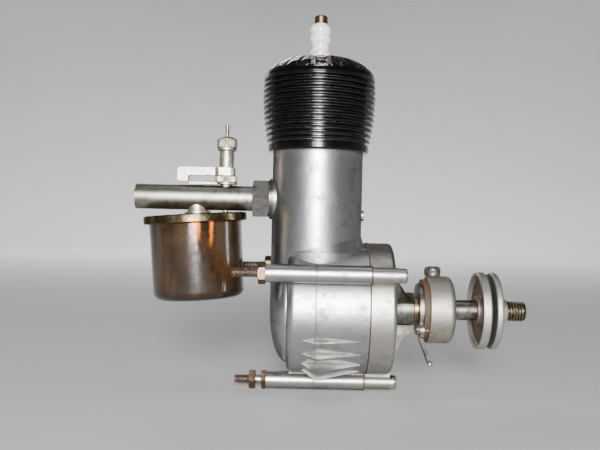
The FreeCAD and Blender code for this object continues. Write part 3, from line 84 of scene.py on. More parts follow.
class Finish:
    """A material being made: one shader, and patterns in millimetres that read Object coordinates."""

    def __init__(self, name, **sockets):
        self.material = bpy.data.materials.new(name)
        self.material.use_nodes = True
        self.tree = self.material.node_tree
        self.shader = self.tree.nodes["Principled BSDF"]
        self.where = self.add("TexCoord").outputs["Object"]
        self.height = None
        for socket, value in sockets.items():
            self.put(socket.replace("_", " "), value)

    def add(self, kind, **settings):
        """A new shader node with its settings."""
        node = self.tree.nodes.new("ShaderNode" + kind)
        for setting, value in settings.items():
            setattr(node, setting, value)
        return node

    def feed(self, socket, value):
        """A link, when the value is another node's output, or else a plain value."""
        if isinstance(value, bpy.types.NodeSocket):
            self.tree.links.new(value, socket)
        elif getattr(socket, "type", "") == "RGBA":
            socket.default_value = (*value, 1.0)
        else:
            socket.default_value = value
        return socket

    def put(self, socket, value):
        """Sets or links one of the shader's own sockets."""
        self.feed(self.shader.inputs[socket], value)

    def math(self, operation, *values):
        node = self.add("Math", operation=operation)
        for socket, value in zip(node.inputs, values):
            self.feed(socket, value)
        return node.outputs[0]

    def axis(self, letter):
        """One of the three Object coordinates, in metres."""
        node = self.add("SeparateXYZ")
        self.feed(node.inputs[0], self.where)
        return node.outputs[letter]

    def product(self, *factors):
        """All the factors multiplied together."""
        value = factors[0]
        for factor in factors[1:]:
            value = self.math("MULTIPLY", value, factor)
        return value

    def paint_over(self, factor, colour):
        """Lays another colour over the present one."""
        present = self.shader.inputs["Base Color"].links[0].from_socket
        self.put("Base Color", self.blend(factor, present, colour))

    def away_from(self, point, along):
        """Distance from a line through a point, along one axis."""
        shift = self.add("VectorMath", operation="SUBTRACT")
        self.feed(shift.inputs[0], self.where)
        self.feed(shift.inputs[1], tuple(point))
        flat = self.add("VectorMath", operation="MULTIPLY")
        self.feed(flat.inputs[0], shift.outputs[0])
        self.feed(flat.inputs[1], tuple(0.0 if letter == along else 1.0 for letter in "XYZ"))
        length = self.add("VectorMath", operation="LENGTH")
        self.feed(length.inputs[0], flat.outputs[0])
        return length.outputs["Value"]

    def stretched(self, stretch):
        """Object coordinates, scaled along each axis."""
        node = self.add("Mapping")
        self.feed(node.inputs["Vector"], self.where)
        self.feed(node.inputs["Scale"], stretch)
        return node.outputs[0]

    def grain(self, size, detail=3.0, stretch=(1, 1, 1), roughness=0.5):
        """Cloudy noise in patches about size millimetres across; a larger stretch is finer that way."""
        node = self.add("TexNoise")
        self.feed(node.inputs["Vector"], self.stretched(stretch))
        self.feed(node.inputs["Scale"], 1.0 / (size * MM))
        self.feed(node.inputs["Detail"], detail)
        self.feed(node.inputs["Roughness"], roughness)
        return node.outputs["Fac"]

    def pits(self, size):
        """Distance to the nearest of many scattered points, about size millimetres apart."""
        node = self.add("TexVoronoi")
        self.feed(node.inputs["Vector"], self.where)
        self.feed(node.inputs["Scale"], 1.0 / (size * MM))
        return node.outputs["Distance"]

    def crevice(self, reach):
        """0 in the open, rising to 1 in corners narrower than reach millimetres."""
        node = self.add("AmbientOcclusion", samples=6)
        self.feed(node.inputs["Distance"], reach * MM)
        return self.math("SUBTRACT", 1.0, node.outputs["AO"])

    def arris(self, reach):
        """0 on a flat face, rising towards 1 within reach millimetres of an edge."""
        rounded = self.add("Bevel", samples=4)
        self.feed(rounded.inputs["Radius"], reach * MM)
        agree = self.add("VectorMath", operation="DOT_PRODUCT")
        self.feed(agree.inputs[0], rounded.outputs[0])
        self.feed(agree.inputs[1], self.add("NewGeometry").outputs["Normal"])
        return self.math("SUBTRACT", 1.0, agree.outputs["Value"])

    def step(self, value, start, end, low=0.0, high=1.0):
        """value carried from start..end to low..high, smoothly and held at both ends."""
        node = self.add("MapRange", interpolation_type="SMOOTHSTEP")
        for socket, number in zip(node.inputs, (value, start, end, low, high)):
            self.feed(socket, number)
        return node.outputs[0]

    def blend(self, factor, a, b):
        """A colour that goes from a to b with the factor."""
        node = self.add("Mix", data_type="RGBA")
        self.feed(node.inputs["Factor"], factor)
        self.feed(node.inputs[6], a)
        self.feed(node.inputs[7], b)
        return node.outputs[2]

    def between(self, factor, a, b):
        """A number that goes from a to b with the factor."""
        node = self.add("Mix", data_type="FLOAT")
        self.feed(node.inputs["Factor"], factor)
        self.feed(node.inputs[2], a)
        self.feed(node.inputs[3], b)
        return node.outputs[0]

    def raise_by(self, pattern, height):
        """Adds relief: the pattern times height, in millimetres."""
        bump = self.add("Bump")
        self.feed(bump.inputs["Height"], pattern)
        self.feed(bump.inputs["Distance"], height * MM)
        if self.height is not None:
            self.feed(bump.inputs["Normal"], self.height)
        self.height = bump.outputs[0]
        self.put("Normal", self.height)


def tinted(colour, share):
    """A colour times one number."""
    return tuple(share * value for value in colour)


def worn_metal(
    name, clean, stained, patch, cover, smooth, dull, scratch=(1, 1, 1), relief=0.006, corner_shade=0.0
):
    """Bare or plated metal: stains in patches, finer mottling, scratches stretched one way, painted shade in
    corners.
    patch is the stains' size in millimetres, cover their share, smooth and dull the ends of roughness."""
    finish = Finish(name, Metallic=1.0, Specular_Tint=(0.5, 0.5, 0.5))
    clouds = finish.grain(patch, 5.0, roughness=0.6)
    stain = finish.step(clouds, 0.72 - cover, 0.82 - cover * 0.6)
    speckle = finish.grain(patch * 0.12, 2.0)
    colour = finish.blend(finish.product(stain, finish.step(speckle, 0.2, 0.6, 0.45, 1.0)), clean, stained)
    # Painted shade: corners found by ambient occlusion are darkened towards a dark tint of the stained
    # colour.
    if corner_shade:
        corner = finish.step(finish.crevice(1.4), 0.25, 0.85, 0.0, corner_shade)
        colour = finish.blend(corner, colour, tinted(stained, 0.3))
    finish.put("Base Color", colour)
    finish.put("Roughness", finish.between(finish.step(speckle, 0.3, 0.7), smooth, dull))
    finish.raise_by(finish.grain(0.25, 2.0, scratch), relief)
    return finish


def casting(name, clean, stained, smooth, dull, oil):
    """Buffed die casting: grey blotches, fine pores with painted shade in them, worn edges, painted shade in
    hollows and deep corners, oil dried in corners.
    """
    finish = Finish(name, Specular_Tint=(0.20, 0.20, 0.21))
    blotch = finish.step(finish.grain(6.0, 6.0, roughness=0.62), 0.46, 0.72)
    speckle = finish.grain(0.7, 3.0)
    shade = finish.product(blotch, finish.step(speckle, 0.25, 0.7, 0.35, 1.0))
    colour = finish.blend(shade, clean, stained)
    corner = finish.crevice(1.6)
    dried = finish.step(finish.grain(2.5, 4.0), 0.35, 0.62)
    colour = finish.blend(finish.product(finish.step(corner, 0.25, 0.65), dried), colour, oil)
    # Painted shade: the deepest corners are darkened to near black.
    colour = finish.blend(finish.step(corner, 0.62, 0.97, 0.0, 0.85), colour, (0.035, 0.030, 0.020))
    # Painted shade: hollows within 5 mm are darkened towards a dark tint of the oil colour; the same mask
    # makes them duller and less metallic.
    recess_shade = finish.step(finish.crevice(5.0), 0.12, 0.58, 0.0, 0.72)
    colour = finish.blend(recess_shade, colour, tinted(oil, 0.22))
    worn = finish.step(finish.arris(0.35), 0.03, 0.25, 0.0, 0.6)
    colour = finish.blend(worn, colour, tinted(clean, 1.3))
    # Painted shade: each pore is painted near black; the pore itself is only a shallow dent.
    pore = finish.step(finish.pits(3.1), 0.0, 0.055, 1.0, 0.0)
    finish.put("Base Color", finish.blend(pore, colour, (0.03, 0.028, 0.025)))
    finish.put("Metallic", finish.between(recess_shade, 1.0, 0.45))
    buffed = finish.between(shade, smooth, dull)
    finish.put("Roughness", finish.math("MAXIMUM", buffed, finish.product(recess_shade, 0.75)))
    finish.raise_by(finish.grain(0.55, 4.0), 0.022)
    finish.raise_by(finish.grain(4.0, 2.0), 0.1)
    finish.raise_by(pore, -0.08)
    return finish


def case_casting():
    """The crankcase: cast below, turned bright with fine rings on the barrel, and painted shade along the
    barrel's rear side and at the boss behind it.
    """
    finish = casting("buffed_case", (0.46, 0.46, 0.46), (0.20, 0.195, 0.19), 0.32, 0.50, (0.25, 0.21, 0.11))
    lowest_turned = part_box("cylinder_liner")[0].z + 3 * MM
    turned = finish.step(finish.axis("Z"), lowest_turned, lowest_turned + 4 * MM)
    # Painted shade: the barrel's rear side and the boss behind it are painted dark.
    behind = finish.step(finish.axis("X"), CYLINDER.x - 12.9 * MM, CYLINDER.x - 14.3 * MM, 0.0, 0.85)
    finish.paint_over(finish.product(behind, turned), (0.085, 0.078, 0.066))
    rings = finish.grain(0.5, 2.0, (0.12, 0.12, 1.6))
    finish.raise_by(finish.product(rings, turned), 0.012)
    return finish


def cover_casting():
    """The front cover: warmer than the case, with olive dirt and painted shade on the gussets ahead of its
    face.
    """
    finish = casting("cover_case", (0.48, 0.475, 0.44), (0.26, 0.245, 0.19), 0.37, 0.56, (0.26, 0.22, 0.09))
    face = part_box("cover_gasket")[1].x + 8.4 * MM
    # Olive dirt and painted shade: the gussets ahead of the face, off the nose, are painted dark olive in
    # patches.
    ahead = finish.step(finish.axis("X"), face + 0.2 * MM, face + 1.4 * MM, 0.0, 0.9)
    off_nose = finish.step(finish.away_from((0, 0, 0), "X"), 4.4 * MM, 5.4 * MM)
    patch = finish.step(finish.grain(2.0, 4.0), 0.30, 0.60, 0.55, 1.0)
    finish.paint_over(finish.product(ahead, off_nose, patch), (0.085, 0.078, 0.052))
    return finish


def timer_casting():
    """The timer cup: dull grey-cream casting, stained yellow towards the bottom."""
    finish = casting("timer_case", (0.50, 0.485, 0.44), (0.33, 0.31, 0.26), 0.48, 0.66, (0.29, 0.24, 0.12))
    low = finish.step(finish.axis("Z"), 2 * MM, -9 * MM)
    patch = finish.step(finish.grain(3.5, 5.0, roughness=0.65), 0.38, 0.68)
    finish.paint_over(finish.product(low, patch), (0.30, 0.25, 0.13))
    return finish


def washer_casting():
    """Drive washers: cream-white matt castings, dull brown inside the dish."""
    finish = casting("washer_case", (0.60, 0.59, 0.54), (0.40, 0.38, 0.32), 0.46, 0.64, (0.30, 0.25, 0.15))
    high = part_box("drive_washer")[1]
    inside = finish.step(finish.away_from((0, 0, 0), "X"), high.z - 1.0 * MM, high.z - 1.6 * MM)
    behind = finish.step(finish.axis("X"), high.x - 0.6 * MM, high.x - 1.1 * MM)
    finish.paint_over(finish.product(inside, behind, 0.8), (0.30, 0.22, 0.17))
    return finish


def black_enamel():
    """Baked black enamel: deep gloss, a lumpy crown, and bare metal where the fins' edges have worn."""
    finish = Finish("baked_enamel", Specular_IOR_Level=0.30, Coat_Weight=0.16, Coat_Roughness=0.12)
    wear = finish.step(finish.grain(0.9, 5.0, (1, 1, 0.5), 0.7), 0.34, 0.54)
    chipped = finish.product(finish.step(finish.arris(0.22), 0.02, 0.16), wear)
    dust = finish.step(finish.grain(1.6, 5.0, roughness=0.65), 0.55, 0.78, 0.0, 0.45)
    black = finish.blend(dust, (0.0015, 0.0015, 0.0018), (0.007, 0.0065, 0.006))
    finish.put("Base Color", finish.blend(chipped, black, (0.42, 0.38, 0.32)))
    finish.put("Metallic", finish.product(chipped, 0.85))
    crown = finish.step(finish.axis("Z"), CROWN_Z - 0.5 * MM, CROWN_Z + 1.5 * MM)
    gloss = finish.between(crown, 0.17, 0.06)
    finish.put("Roughness", finish.between(finish.math("MAXIMUM", dust, chipped), gloss, 0.42))
    finish.raise_by(finish.grain(0.35, 2.0), 0.014)
    finish.raise_by(finish.product(crown, finish.grain(1.7, 2.0, roughness=0.5)), 1.6)
    finish.raise_by(chipped, -0.02)
    return finish


def rusted(name, steel, rust, cover):
    """Steel under thin rust: the rust is dull, brown and a little raised. cover is the rust's share."""
    finish = Finish(name)
    patch = finish.step(finish.grain(0.9, 6.0, roughness=0.65), 0.62 - cover, 0.70 - cover)
    shade = finish.blend(finish.grain(0.22, 2.0), tinted(rust, 0.55), rust)
    finish.put("Base Color", finish.blend(patch, steel, shade))
    finish.put("Metallic", finish.between(patch, 1.0, 0.25))
    finish.put("Roughness", finish.between(patch, 0.32, 0.72))
    finish.raise_by(patch, 0.02)
    finish.raise_by(finish.grain(0.18, 3.0), 0.01)
    return finish


def rusty_steel():
    """The timer's two screws: steel with thin rust in small patches."""
    return rusted("rusty_screws", (0.26, 0.23, 0.20), (0.125, 0.088, 0.066), cover=0.13)


def rusty_threads():
    """The studs' free ends: browner steel with more rust."""
    return rusted("rusty_threads", (0.20, 0.165, 0.14), (0.12, 0.066, 0.046), cover=0.16)


def tube_steel():
    """Satin grey steel, with olive towards the intake tube's open end."""
    finish = worn_metal(
        "satin_tube", (0.34, 0.325, 0.30), (0.19, 0.165, 0.12),
        patch=3.2, cover=0.26, smooth=0.30, dull=0.46, scratch=(0.12, 1.4, 1.4), relief=0.003, corner_shade=0.7,
    )
    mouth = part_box("intake_tube")[0].x
    near_mouth = finish.step(finish.axis("X"), mouth + 12 * MM, mouth)
    patch = finish.step(finish.grain(2.2, 5.0, roughness=0.6), 0.36, 0.66, 0.0, 0.8)
    finish.paint_over(finish.product(near_mouth, patch), (0.22, 0.20, 0.10))
    return finish


# plain metals, each under the name of the slot or piece it is for
METALS = {
    "plated_steel": dict(
        name="plated_screws", clean=(0.52, 0.50, 0.46), stained=(0.26, 0.22, 0.16),
        patch=1.6, cover=0.30, smooth=0.26, dull=0.46, corner_shade=0.6,
    ),
    "shaft_threads": dict(
        name="shaft_threads", clean=(0.34, 0.29, 0.22), stained=(0.15, 0.11, 0.07),
        patch=1.3, cover=0.30, smooth=0.28, dull=0.50, corner_shade=0.9,
    ),
    "tan_brass": dict(
        name="tan_nuts", clean=(0.23, 0.155, 0.10), stained=(0.12, 0.08, 0.05),
        patch=1.4, cover=0.34, smooth=0.26, dull=0.48, corner_shade=0.9,
    ),
    "dark_steel": dict(
        name="oiled_steel", clean=(0.30, 0.285, 0.27), stained=(0.15, 0.12, 0.10),
        patch=2.4, cover=0.30, smooth=0.22, dull=0.40, scratch=(2.2, 0.2, 0.2), relief=0.003, corner_shade=0.3,
    ),
    "gland_steel": dict(
        name="gland_steel", clean=(0.34, 0.335, 0.32), stained=(0.16, 0.12, 0.09),
        patch=2.6, cover=0.24, smooth=0.28, dull=0.46, corner_shade=0.8,
    ),
    "nickel": dict(
        name="warm_nickel", clean=(0.62, 0.59, 0.50), stained=(0.36, 0.31, 0.21),
        patch=1.6, cover=0.28, smooth=0.36, dull=0.54, corner_shade=0.8,
    ),
    "iron": dict(
        name="ground_iron", clean=(0.36, 0.355, 0.35), stained=(0.22, 0.20, 0.18),
        patch=3.0, cover=0.24, smooth=0.28, dull=0.44, scratch=(1, 1, 0.1),
    ),
    "bronze": dict(
        name="bronze", clean=(0.50, 0.34, 0.17), stained=(0.28, 0.18, 0.09),
        patch=1.8, cover=0.28, smooth=0.30, dull=0.48,
    ),
    "spring_steel": dict(
        name="blued_spring", clean=(0.22, 0.22, 0.25), stained=(0.12, 0.10, 0.10),
        patch=1.5, cover=0.28, smooth=0.26, dull=0.40,
    ),
    "copper": dict(
        name="copper", clean=(0.62, 0.30, 0.19), stained=(0.30, 0.14, 0.09),
        patch=1.5, cover=0.30, smooth=0.30, dull=0.50,
    ),
    "tungsten": dict(
        name="contact_points", clean=(0.42, 0.42, 0.43), stained=(0.24, 0.23, 0.22),
        patch=0.8, cover=0.24, smooth=0.30, dull=0.46,
    ),
    "lid_brass": dict(
        name="tarnished_lid", clean=(0.26, 0.205, 0.10), stained=(0.075, 0.058, 0.03),
        patch=3.0, cover=0.38, smooth=0.20, dull=0.42, corner_shade=0.6,
    ),
}


def fibre():
    """Pressed fibre board: brown, with thin layers across the shaft."""
    finish = Finish("pressed_fibre", Specular_IOR_Level=0.4)
    layers = finish.grain(0.5, 4.0, (3.0, 0.25, 0.25), 0.6)
    finish.put("Base Color", finish.blend(layers, (0.045, 0.024, 0.014), (0.13, 0.075, 0.042)))
    finish.put("Roughness", finish.step(layers, 0.3, 0.7, 0.48, 0.7))
    finish.raise_by(layers, 0.03)
    return finish


def porcelain():
    """White glaze: a thick clear skin over a slightly warm body, with specks and a faint red ring at its
    foot."""
    finish = Finish("glazed_porcelain", Coat_Weight=1.0, Coat_Roughness=0.04, Subsurface_Weight=0.05)
    finish.put("Subsurface Radius", (0.0012, 0.0011, 0.0010))
    speck = finish.step(finish.grain(0.35, 4.0, roughness=0.7), 0.68, 0.76, 0.0, 0.7)
    warm = finish.blend(finish.grain(3.0, 3.0), (0.92, 0.92, 0.90), (0.86, 0.85, 0.81))
    finish.put("Base Color", finish.blend(speck, warm, (0.36, 0.30, 0.24)))
    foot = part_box("plug_shell")[1].z
    ring = finish.step(finish.axis("Z"), foot + 3.4 * MM, foot + 0.6 * MM)
    patch = finish.step(finish.grain(1.1, 4.0), 0.46, 0.62, 0.0, 0.75)
    finish.paint_over(finish.product(ring, patch), (0.42, 0.14, 0.09))
    finish.put("Roughness", finish.step(speck, 0.0, 0.7, 0.14, 0.4))
    finish.raise_by(finish.grain(1.6, 2.0), 0.02)
    return finish


def gasket_paper():
    """Oiled paper: dark reddish brown with fine strands."""
    finish = Finish("oiled_paper", Specular_IOR_Level=0.35)
    strands = finish.grain(0.4, 5.0, (0.4, 1, 1), 0.7)
    finish.put("Base Color", finish.blend(strands, (0.020, 0.010, 0.008), (0.075, 0.034, 0.024)))
    finish.put("Roughness", finish.step(strands, 0.3, 0.7, 0.6, 0.85))
    finish.raise_by(strands, 0.03)
    return finish


def amber():
    """Old amber tank: dark brown resin with a small painted orange glow and a thin painted line of light
    under the lid, olive and purple bloom on its skin, and painted shade at its foot."""
    finish = Finish("amber_tank", IOR=1.5, Specular_IOR_Level=0.35, Coat_Weight=0.5, Coat_Roughness=0.05)
    low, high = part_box("tank_bowl")
    up, along = finish.axis("Z"), finish.axis("X")
    cloud = finish.step(finish.grain(6.0, 5.0, (1, 1, 0.4), 0.6), 0.35, 0.7)
    body = finish.blend(cloud, (0.011, 0.0055, 0.0025), (0.052, 0.025, 0.008))
    bloom = finish.step(finish.grain(6.0, 3.0, (1, 1, 0.25)), 0.50, 0.68, 0.0, 0.7)
    body = finish.blend(bloom, body, (0.050, 0.036, 0.025))
    near_side = finish.step(finish.axis("Y"), -3 * MM, -6 * MM)
    # Painted light: an orange glow and a thin glowing line on the near side under the lid, as light shining
    # through the resin.
    for ahead, half, drop in ((1.8, 1.4, 5.5), (6.4, 0.5, 7.0)):
        across = finish.math("ABSOLUTE", finish.math("SUBTRACT", along, TANK.x + ahead * MM))
        ragged = finish.math("ADD", across, finish.product(finish.grain(1.8, 4.0), 1.2 * MM))
        painted_glow = finish.step(ragged, (half + 1.0) * MM, half * MM)
        hung = finish.step(up, high.z - (drop + 3.5) * MM, high.z - (drop - 1.5) * MM)
        body = finish.blend(finish.product(painted_glow, hung, near_side), body, (0.95, 0.23, 0.008))
    # Painted shade: the bowl darkens towards its foot.
    foot = finish.step(up, low.z + 4.5 * MM, low.z + 0.5 * MM, 0.0, 0.85)
    finish.put("Base Color", finish.blend(foot, body, (0.008, 0.005, 0.003)))
    finish.put("Transmission Weight", 0.06)
    film = finish.grain(1.4, 5.0, roughness=0.7)
    finish.put("Roughness", finish.step(film, 0.45, 0.8, 0.14, 0.34))
    finish.raise_by(finish.grain(5.0, 2.0), 0.12)
    return finish


FINISHES = {slot: worn_metal(**look) for slot, look in METALS.items()}
for maker in (
    case_casting, cover_casting, timer_casting, washer_casting, black_enamel, rusty_steel, rusty_threads,
    tube_steel, fibre, porcelain, gasket_paper, amber,
):
    FINISHES[maker.__name__] = maker()


def dress_nodes():
    """Every CAD node gets the finish that its own slot is named for, and the gland nut gets its own."""
    for node in NODES.values():
        for slot in node.material_slots:
            slot.material = FINISHES[slot.material.name].material
    NODES["gland_nut"].material_slots[0].material = FINISHES["gland_steel"].material


# ---------------------------------------------------------------- making pieces


def skin_faces(rows, columns, join_rows=False):
    """Four-cornered faces over a grid of points. Each row closes on itself, and the last row joins the first
    when join_rows is true."""
    row, column = np.meshgrid(np.arange(rows if join_rows else rows - 1), np.arange(columns), indexing="ij")
    next_row, next_column = (row + 1) % rows, (column + 1) % columns
    pairs = ((row, column), (next_row, column), (next_row, next_column), (row, next_column))
    return np.stack([r * columns + c for r, c in pairs], axis=-1).reshape(-1, 4)


def rings_to_piece(name, rings, finish, body):
    """A closed skin over a stack of rings. rings is rows x columns x 3; each row closes on itself, and the
    first and last rows are closed by a fan to their own middle points. Faces are turned outwards by signed
    volume."""
    rows, columns = rings.shape[:2]
    points = np.concatenate([rings.reshape(-1, 3), rings[[0, -1]].mean(axis=1)])
    sides = skin_faces(rows, columns)[:, [0, 3, 2, 1]]
    around = np.arange(columns)
    following = (around + 1) % columns
    last = (rows - 1) * columns
    first_middle, last_middle = rows * columns, rows * columns + 1
    start_fan = np.stack([following, around, np.full(columns, first_middle)], axis=-1)
    end_fan = np.stack([last + around, last + following, np.full(columns, last_middle)], axis=-1)
    corners = points[sides]
    volume = np.einsum("ij,ij->", np.cross(corners[:, 0], corners[:, 1]), corners[:, 2])
    volume += np.einsum("ij,ij->", np.cross(corners[:, 0], corners[:, 2]), corners[:, 3])
    faces = sides.tolist() + start_fan.tolist() + end_fan.tolist()
    if volume < 0:
        faces = [face[::-1] for face in faces]
    mesh = bpy.data.meshes.new(name)
    mesh.from_pydata(points.tolist(), [], faces)
    return finish_piece(name, mesh, finish, body)


def finish_piece(name, mesh, finish, body):
    """An object at the origin with smooth faces and sharp edges past an angle, riding on its body."""
    mesh.polygons.foreach_set("use_smooth", np.ones(len(mesh.polygons), bool))
    mesh.set_sharp_from_angle(angle=SHARP)
    mesh.materials.append(FINISHES[finish].material)
    piece = bpy.data.objects.new(name, mesh)
    bpy.context.scene.collection.objects.link(piece)
    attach(piece, body)
    return piece


def turned_rings(distance, along, columns, centre, axis):
    """Rings of radius distance[row, column] at along[row], round a line through centre along X or Z."""
    angle = np.linspace(0, 2 * math.pi, columns, endpoint=False)
    side = distance * np.cos(angle)
    rise = distance * np.sin(angle)
    reach = np.broadcast_to(along[:, None], distance.shape)
    order = (reach, side, rise) if axis == "X" else (side, rise, reach)
    return np.stack(order, axis=-1) + np.array(centre)


def thread_ridge(turns):
    """A rounded screw-thread section: 1 on the crest and 0 in the groove, repeating once a turn."""
    wave = np.abs((turns % 1.0) * 2 - 1)
    return np.clip((wave - 0.12) / 0.70, 0, 1)


def screw_thread(name, start, end, crest, root, pitch, centre, columns, body, finish):
    """A screw thread along X. Its radius is root + (crest - root) * ridge(x / pitch - angle / full turn); it
    fades out over half a pitch at each end, down to the root."""
    rows_a_turn = 14
    rows = int((end - start) / pitch * rows_a_turn) + 1
    along = np.linspace(start, end, rows)
    turn = np.linspace(0, 1, columns, endpoint=False)
    ridge = thread_ridge(along[:, None] / pitch - turn[None, :])
    from_end = np.minimum(along - start, end - along)
    fade = np.clip(from_end / (0.5 * pitch), 0, 1)
    distance = root + (crest - root) * ridge * fade[:, None]
    rings = turned_rings(distance, along, columns, (0, centre[1], centre[2]), "X")
    return rings_to_piece(name, rings, finish, body)


def cut_piece(node, name, plane, side, finish, body):
    """The CAD node's own surface on one side of a plane across X, with the cut closed flat. side is 1 when
    the part before the plane is kept, and -1 when the part after it is."""
    shape = bmesh.new()
    shape.from_mesh(NODES[node].data)
    bmesh.ops.remove_doubles(shape, verts=shape.verts, dist=1e-6)
    everything = [*shape.verts, *shape.edges, *shape.faces]
    bmesh.ops.bisect_plane(
        shape, geom=everything, dist=1e-7, plane_co=(plane, 0, 0), plane_no=(side, 0, 0), clear_outer=True
    )
    rim = [edge for edge in shape.edges if edge.is_boundary]
    bmesh.ops.holes_fill(shape, edges=rim, sides=0)
    bmesh.ops.recalc_face_normals(shape, faces=shape.faces)
    mesh = bpy.data.meshes.new(name)
    shape.to_mesh(mesh)
    shape.free()
    stale = mesh.attributes.get("custom_normal")
    if stale:
        mesh.attributes.remove(stale)
    piece = finish_piece(name, mesh, finish, body)
    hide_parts(node)
    return piece


def propeller_shaft():
    """The shaft keeps its turned shape up to the thread, and gets a real screw thread from there on."""
    threaded, overlap = 5.6 * MM, 0.1 * MM
    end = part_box("crankshaft")[1].x
    start = end - threaded
    cut_piece("crankshaft", "shaft_and_web", start, 1, "dark_steel", "crank")
    screw_thread(
        "propeller_thread", start - overlap, end, crest=3.17 * MM, root=2.62 * MM, pitch=PROPELLER_PITCH,
        centre=(0, 0, 0), columns=64, body="crank", finish="shaft_threads",
    )


def stud_threads():
    """Each stud keeps its head and shank; its free end behind the nuts is a fine screw thread."""
    overlap = 0.2 * MM
    for side in SIDES:
        node = f"mounting_stud_{side}"
        rear_nut = "stud_lock_nut" if side == "bottom" else f"stud_nut_{side}"
        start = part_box(rear_nut)[0].x
        cut_piece(node, f"stud_{side}_shank", start, -1, "plated_steel", "root")
        screw_thread(
            f"stud_{side}_thread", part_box(node)[0].x, start + overlap, crest=1.42 * MM, root=1.12 * MM,
            pitch=STUD_PITCH, centre=middle(node), columns=32, body="root",
            finish="rusty_threads",
        )


def knurled(name, node, body, steps, teeth, depth, band, lead):
    """A knurled nut about the needle's axis. steps is its outline as (height, radius) in millimetres from the
    node's foot; inside the band the radius is dented by depth where two sets of slanting grooves cross. Each
    groove moves round by lead teeth from the band's foot to its top."""
    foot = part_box(node)[0].z
    heights, radii = np.array(steps).T * MM
    low, high = band[0] * MM, band[1] * MM
    rows, columns = 41, teeth * 6
    along = np.unique(np.concatenate([heights, np.linspace(band[0], band[1], rows) * MM]))
    along = np.sort(np.concatenate([along, heights[1:-1] + 1e-6]))
    plain = np.interp(along, heights, radii)
    turn = np.linspace(0, 1, columns, endpoint=False)
    slant = (along - low) / ((band[1] - band[0]) * MM) * lead
    right = np.abs(np.sin(math.pi * (teeth * turn[None, :] + slant[:, None])))
    left = np.abs(np.sin(math.pi * (teeth * turn[None, :] - slant[:, None])))
    inside = ((along > low) & (along < high)).astype(float)
    dent = depth * MM * (1 - np.minimum(right, left)) * inside[:, None]
    rings = turned_rings(plain[:, None] - dent, along, columns, (NEEDLE.x, NEEDLE.y, foot), "Z")
    piece = rings_to_piece(name, rings, "nickel", body)
    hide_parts(node)


def needle_knobs():
    """The thimble has crossed knurling and a domed top; the lock nut under it has straight knurling."""
    thimble = [
        (0, 1.0), (0, 2.75), (0.25, 3.0), (0.9, 3.0), (1.0, 3.22),
        (3.6, 3.22), (3.75, 2.9), (4.3, 2.1), (4.5, 1.5),
    ]
    lock_nut = [(0, 2.0), (0, 3.2), (0.2, 3.45), (2.0, 3.45), (2.2, 3.2), (2.2, 2.0)]
    knurled("knurled_thimble", "needle_thimble", "needle", thimble, 30, 0.22, (1.05, 3.55), lead=3.0)
    knurled("knurled_lock_nut", "valve_lock_nut", "root", lock_nut, 34, 0.25, (0.25, 1.95), lead=0.0)


def parting_line(name, radius, axis, columns):
    """A die's parting line, as a thin ridge round a casting in the cylinder's plane. Its section is a half
    wave: height = 0.09 mm times the cosine of the distance from the plane, over 0.22 mm each side. The rest
    of the section is sunk in the casting."""
    half, height, sunk, root = 0.22 * MM, 0.09 * MM, 0.02 * MM, 0.4 * MM
    along = np.linspace(-half, half, 9)
    bulge = height * np.cos(along / half * math.pi / 2)
    along = np.concatenate([along, [half, -half]])
    distance = np.concatenate([radius - sunk + bulge, [radius - root, radius - root]])
    angle = np.linspace(0, 2 * math.pi, columns, endpoint=False)
    side = distance[None, :] * np.cos(angle)[:, None] + axis[1]
    rise = distance[None, :] * np.sin(angle)[:, None] + axis[2]
    reach = np.broadcast_to(along + CYLINDER.x, side.shape)
    points = np.stack([reach, side, rise], axis=-1).reshape(-1, 3)
    mesh = bpy.data.meshes.new(name)
    mesh.from_pydata(points.tolist(), [], skin_faces(columns, len(along), join_rows=True).tolist())
    return finish_piece(name, mesh, "case_casting", "root")


def parting_lines():
    """The ridge runs round the crank drum and round each stud's lug."""
    parting_line("parting_line_drum", 20.6 * MM, (0, 0, 0), 180)
    for side in SIDES:
        parting_line(f"parting_line_{side}", 2.7 * MM, middle(f"mounting_stud_{side}"), 48)


# ---------------------------------------------------------------- floor, lights and camera


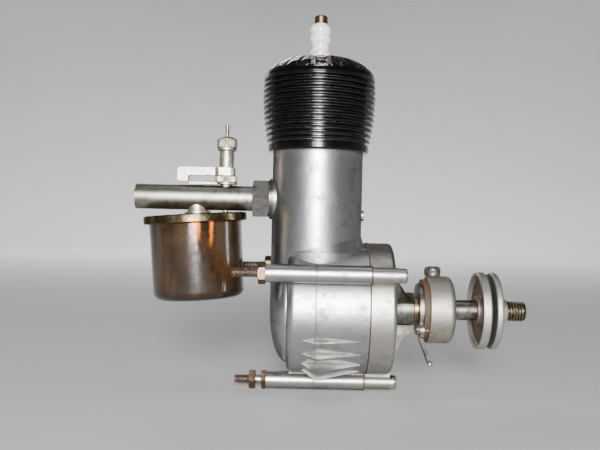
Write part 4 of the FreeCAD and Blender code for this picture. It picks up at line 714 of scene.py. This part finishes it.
def studio_floor():
    """A flat pale disc that turns up into a low wall all round. Past the flat part its radius is
    flat + bend * sin and its height bend * (1 - cos) of an angle that goes to a right angle."""
    flat, bend, wall, columns = 1.3, 0.5, 0.35, 96
    foot = CAD_BOX[0][2] - 0.2 * MM
    sweep = np.linspace(0.1, math.pi / 2, 16)
    reach = np.concatenate([[0.0001, 0.3, 0.8, flat], flat + bend * np.sin(sweep), [flat + bend]])
    climb = np.concatenate([np.zeros(4), bend * (1 - np.cos(sweep)), [bend + wall]])
    angle = np.linspace(0, 2 * math.pi, columns, endpoint=False)
    grid = np.stack(
        [reach[:, None] * np.cos(angle), reach[:, None] * np.sin(angle),
         np.broadcast_to((climb + foot)[:, None], (len(reach), columns))], axis=-1,
    )
    mesh = bpy.data.meshes.new("studio_floor")
    mesh.from_pydata(grid.reshape(-1, 3).tolist(), [], skin_faces(len(reach), columns).tolist())
    mesh.polygons.foreach_set("use_smooth", np.ones(len(mesh.polygons), bool))
    paint = Finish("pale_floor", Roughness=0.85)
    paint.put("Base Color", paint.blend(paint.grain(60.0), (0.62, 0.62, 0.63), (0.66, 0.66, 0.665)))
    mesh.materials.append(paint.material)
    floor = bpy.data.objects.new("studio_floor", mesh)
    bpy.context.scene.collection.objects.link(floor)


def soft_light(name, at, size, watts, aim=(0.02, 0.0, 0.03), spread=180):
    """A soft box of a size in metres that faces a point; a spread below 180 degrees narrows its beam."""
    data = bpy.data.lights.new(name, "AREA")
    data.shape = "RECTANGLE"
    data.size, data.size_y = size
    data.energy = watts
    data.spread = math.radians(spread)
    light = bpy.data.objects.new(name, data)
    light.location = at
    light.rotation_euler = (Vector(aim) - Vector(at)).to_track_quat("-Z", "Y").to_euler()
    bpy.context.scene.collection.objects.link(light)


def studio_lights():
    """A tall soft box behind the camera with a small flash in front of it, dim boxes overhead and at the
    back, and a wash of light on the floor and wall behind the engine."""
    soft_light("front_box", (-0.02, -0.95, 0.22), (0.34, 0.55), 15.0)
    soft_light("small_flash", (0.02, -0.55, 0.10), (0.06, 0.16), 3.0)
    soft_light("overhead_box", (0.05, 0.0, 1.0), (0.5, 0.5), 0.9)
    soft_light("rear_box", (-0.3, 1.0, 0.6), (0.6, 0.4), 3.0)
    soft_light("floor_wash", (0.0, 1.1, 1.45), (1.5, 0.4), 9.5, aim=(0.0, 1.25, 0.0), spread=78)
    world = bpy.data.worlds.new("studio_air")
    bpy.context.scene.world = world
    world.use_nodes = True
    air = world.node_tree.nodes["Background"].inputs
    air["Color"].default_value = (0.60, 0.61, 0.63, 1.0)
    air["Strength"].default_value = 0.09


def camera():
    """A level side view along +Y, turned a little about its own line of sight."""
    data = bpy.data.cameras.new("camera")
    data.lens = 45.0
    data.sensor_width = 36.0
    data.clip_start = 0.01
    view = bpy.data.objects.new("camera", data)
    place, roll = (0.0153, -0.238, 0.0258), math.radians(1.35)
    upright = Matrix.Rotation(math.radians(90), 4, "X") @ Matrix.Rotation(roll, 4, "Z")
    view.matrix_world = Matrix.Translation(place) @ upright
    bpy.context.scene.collection.objects.link(view)
    bpy.context.scene.camera = view


dress_nodes()
propeller_shaft()
stud_threads()
needle_knobs()
parting_lines()
studio_floor()
studio_lights()
camera()
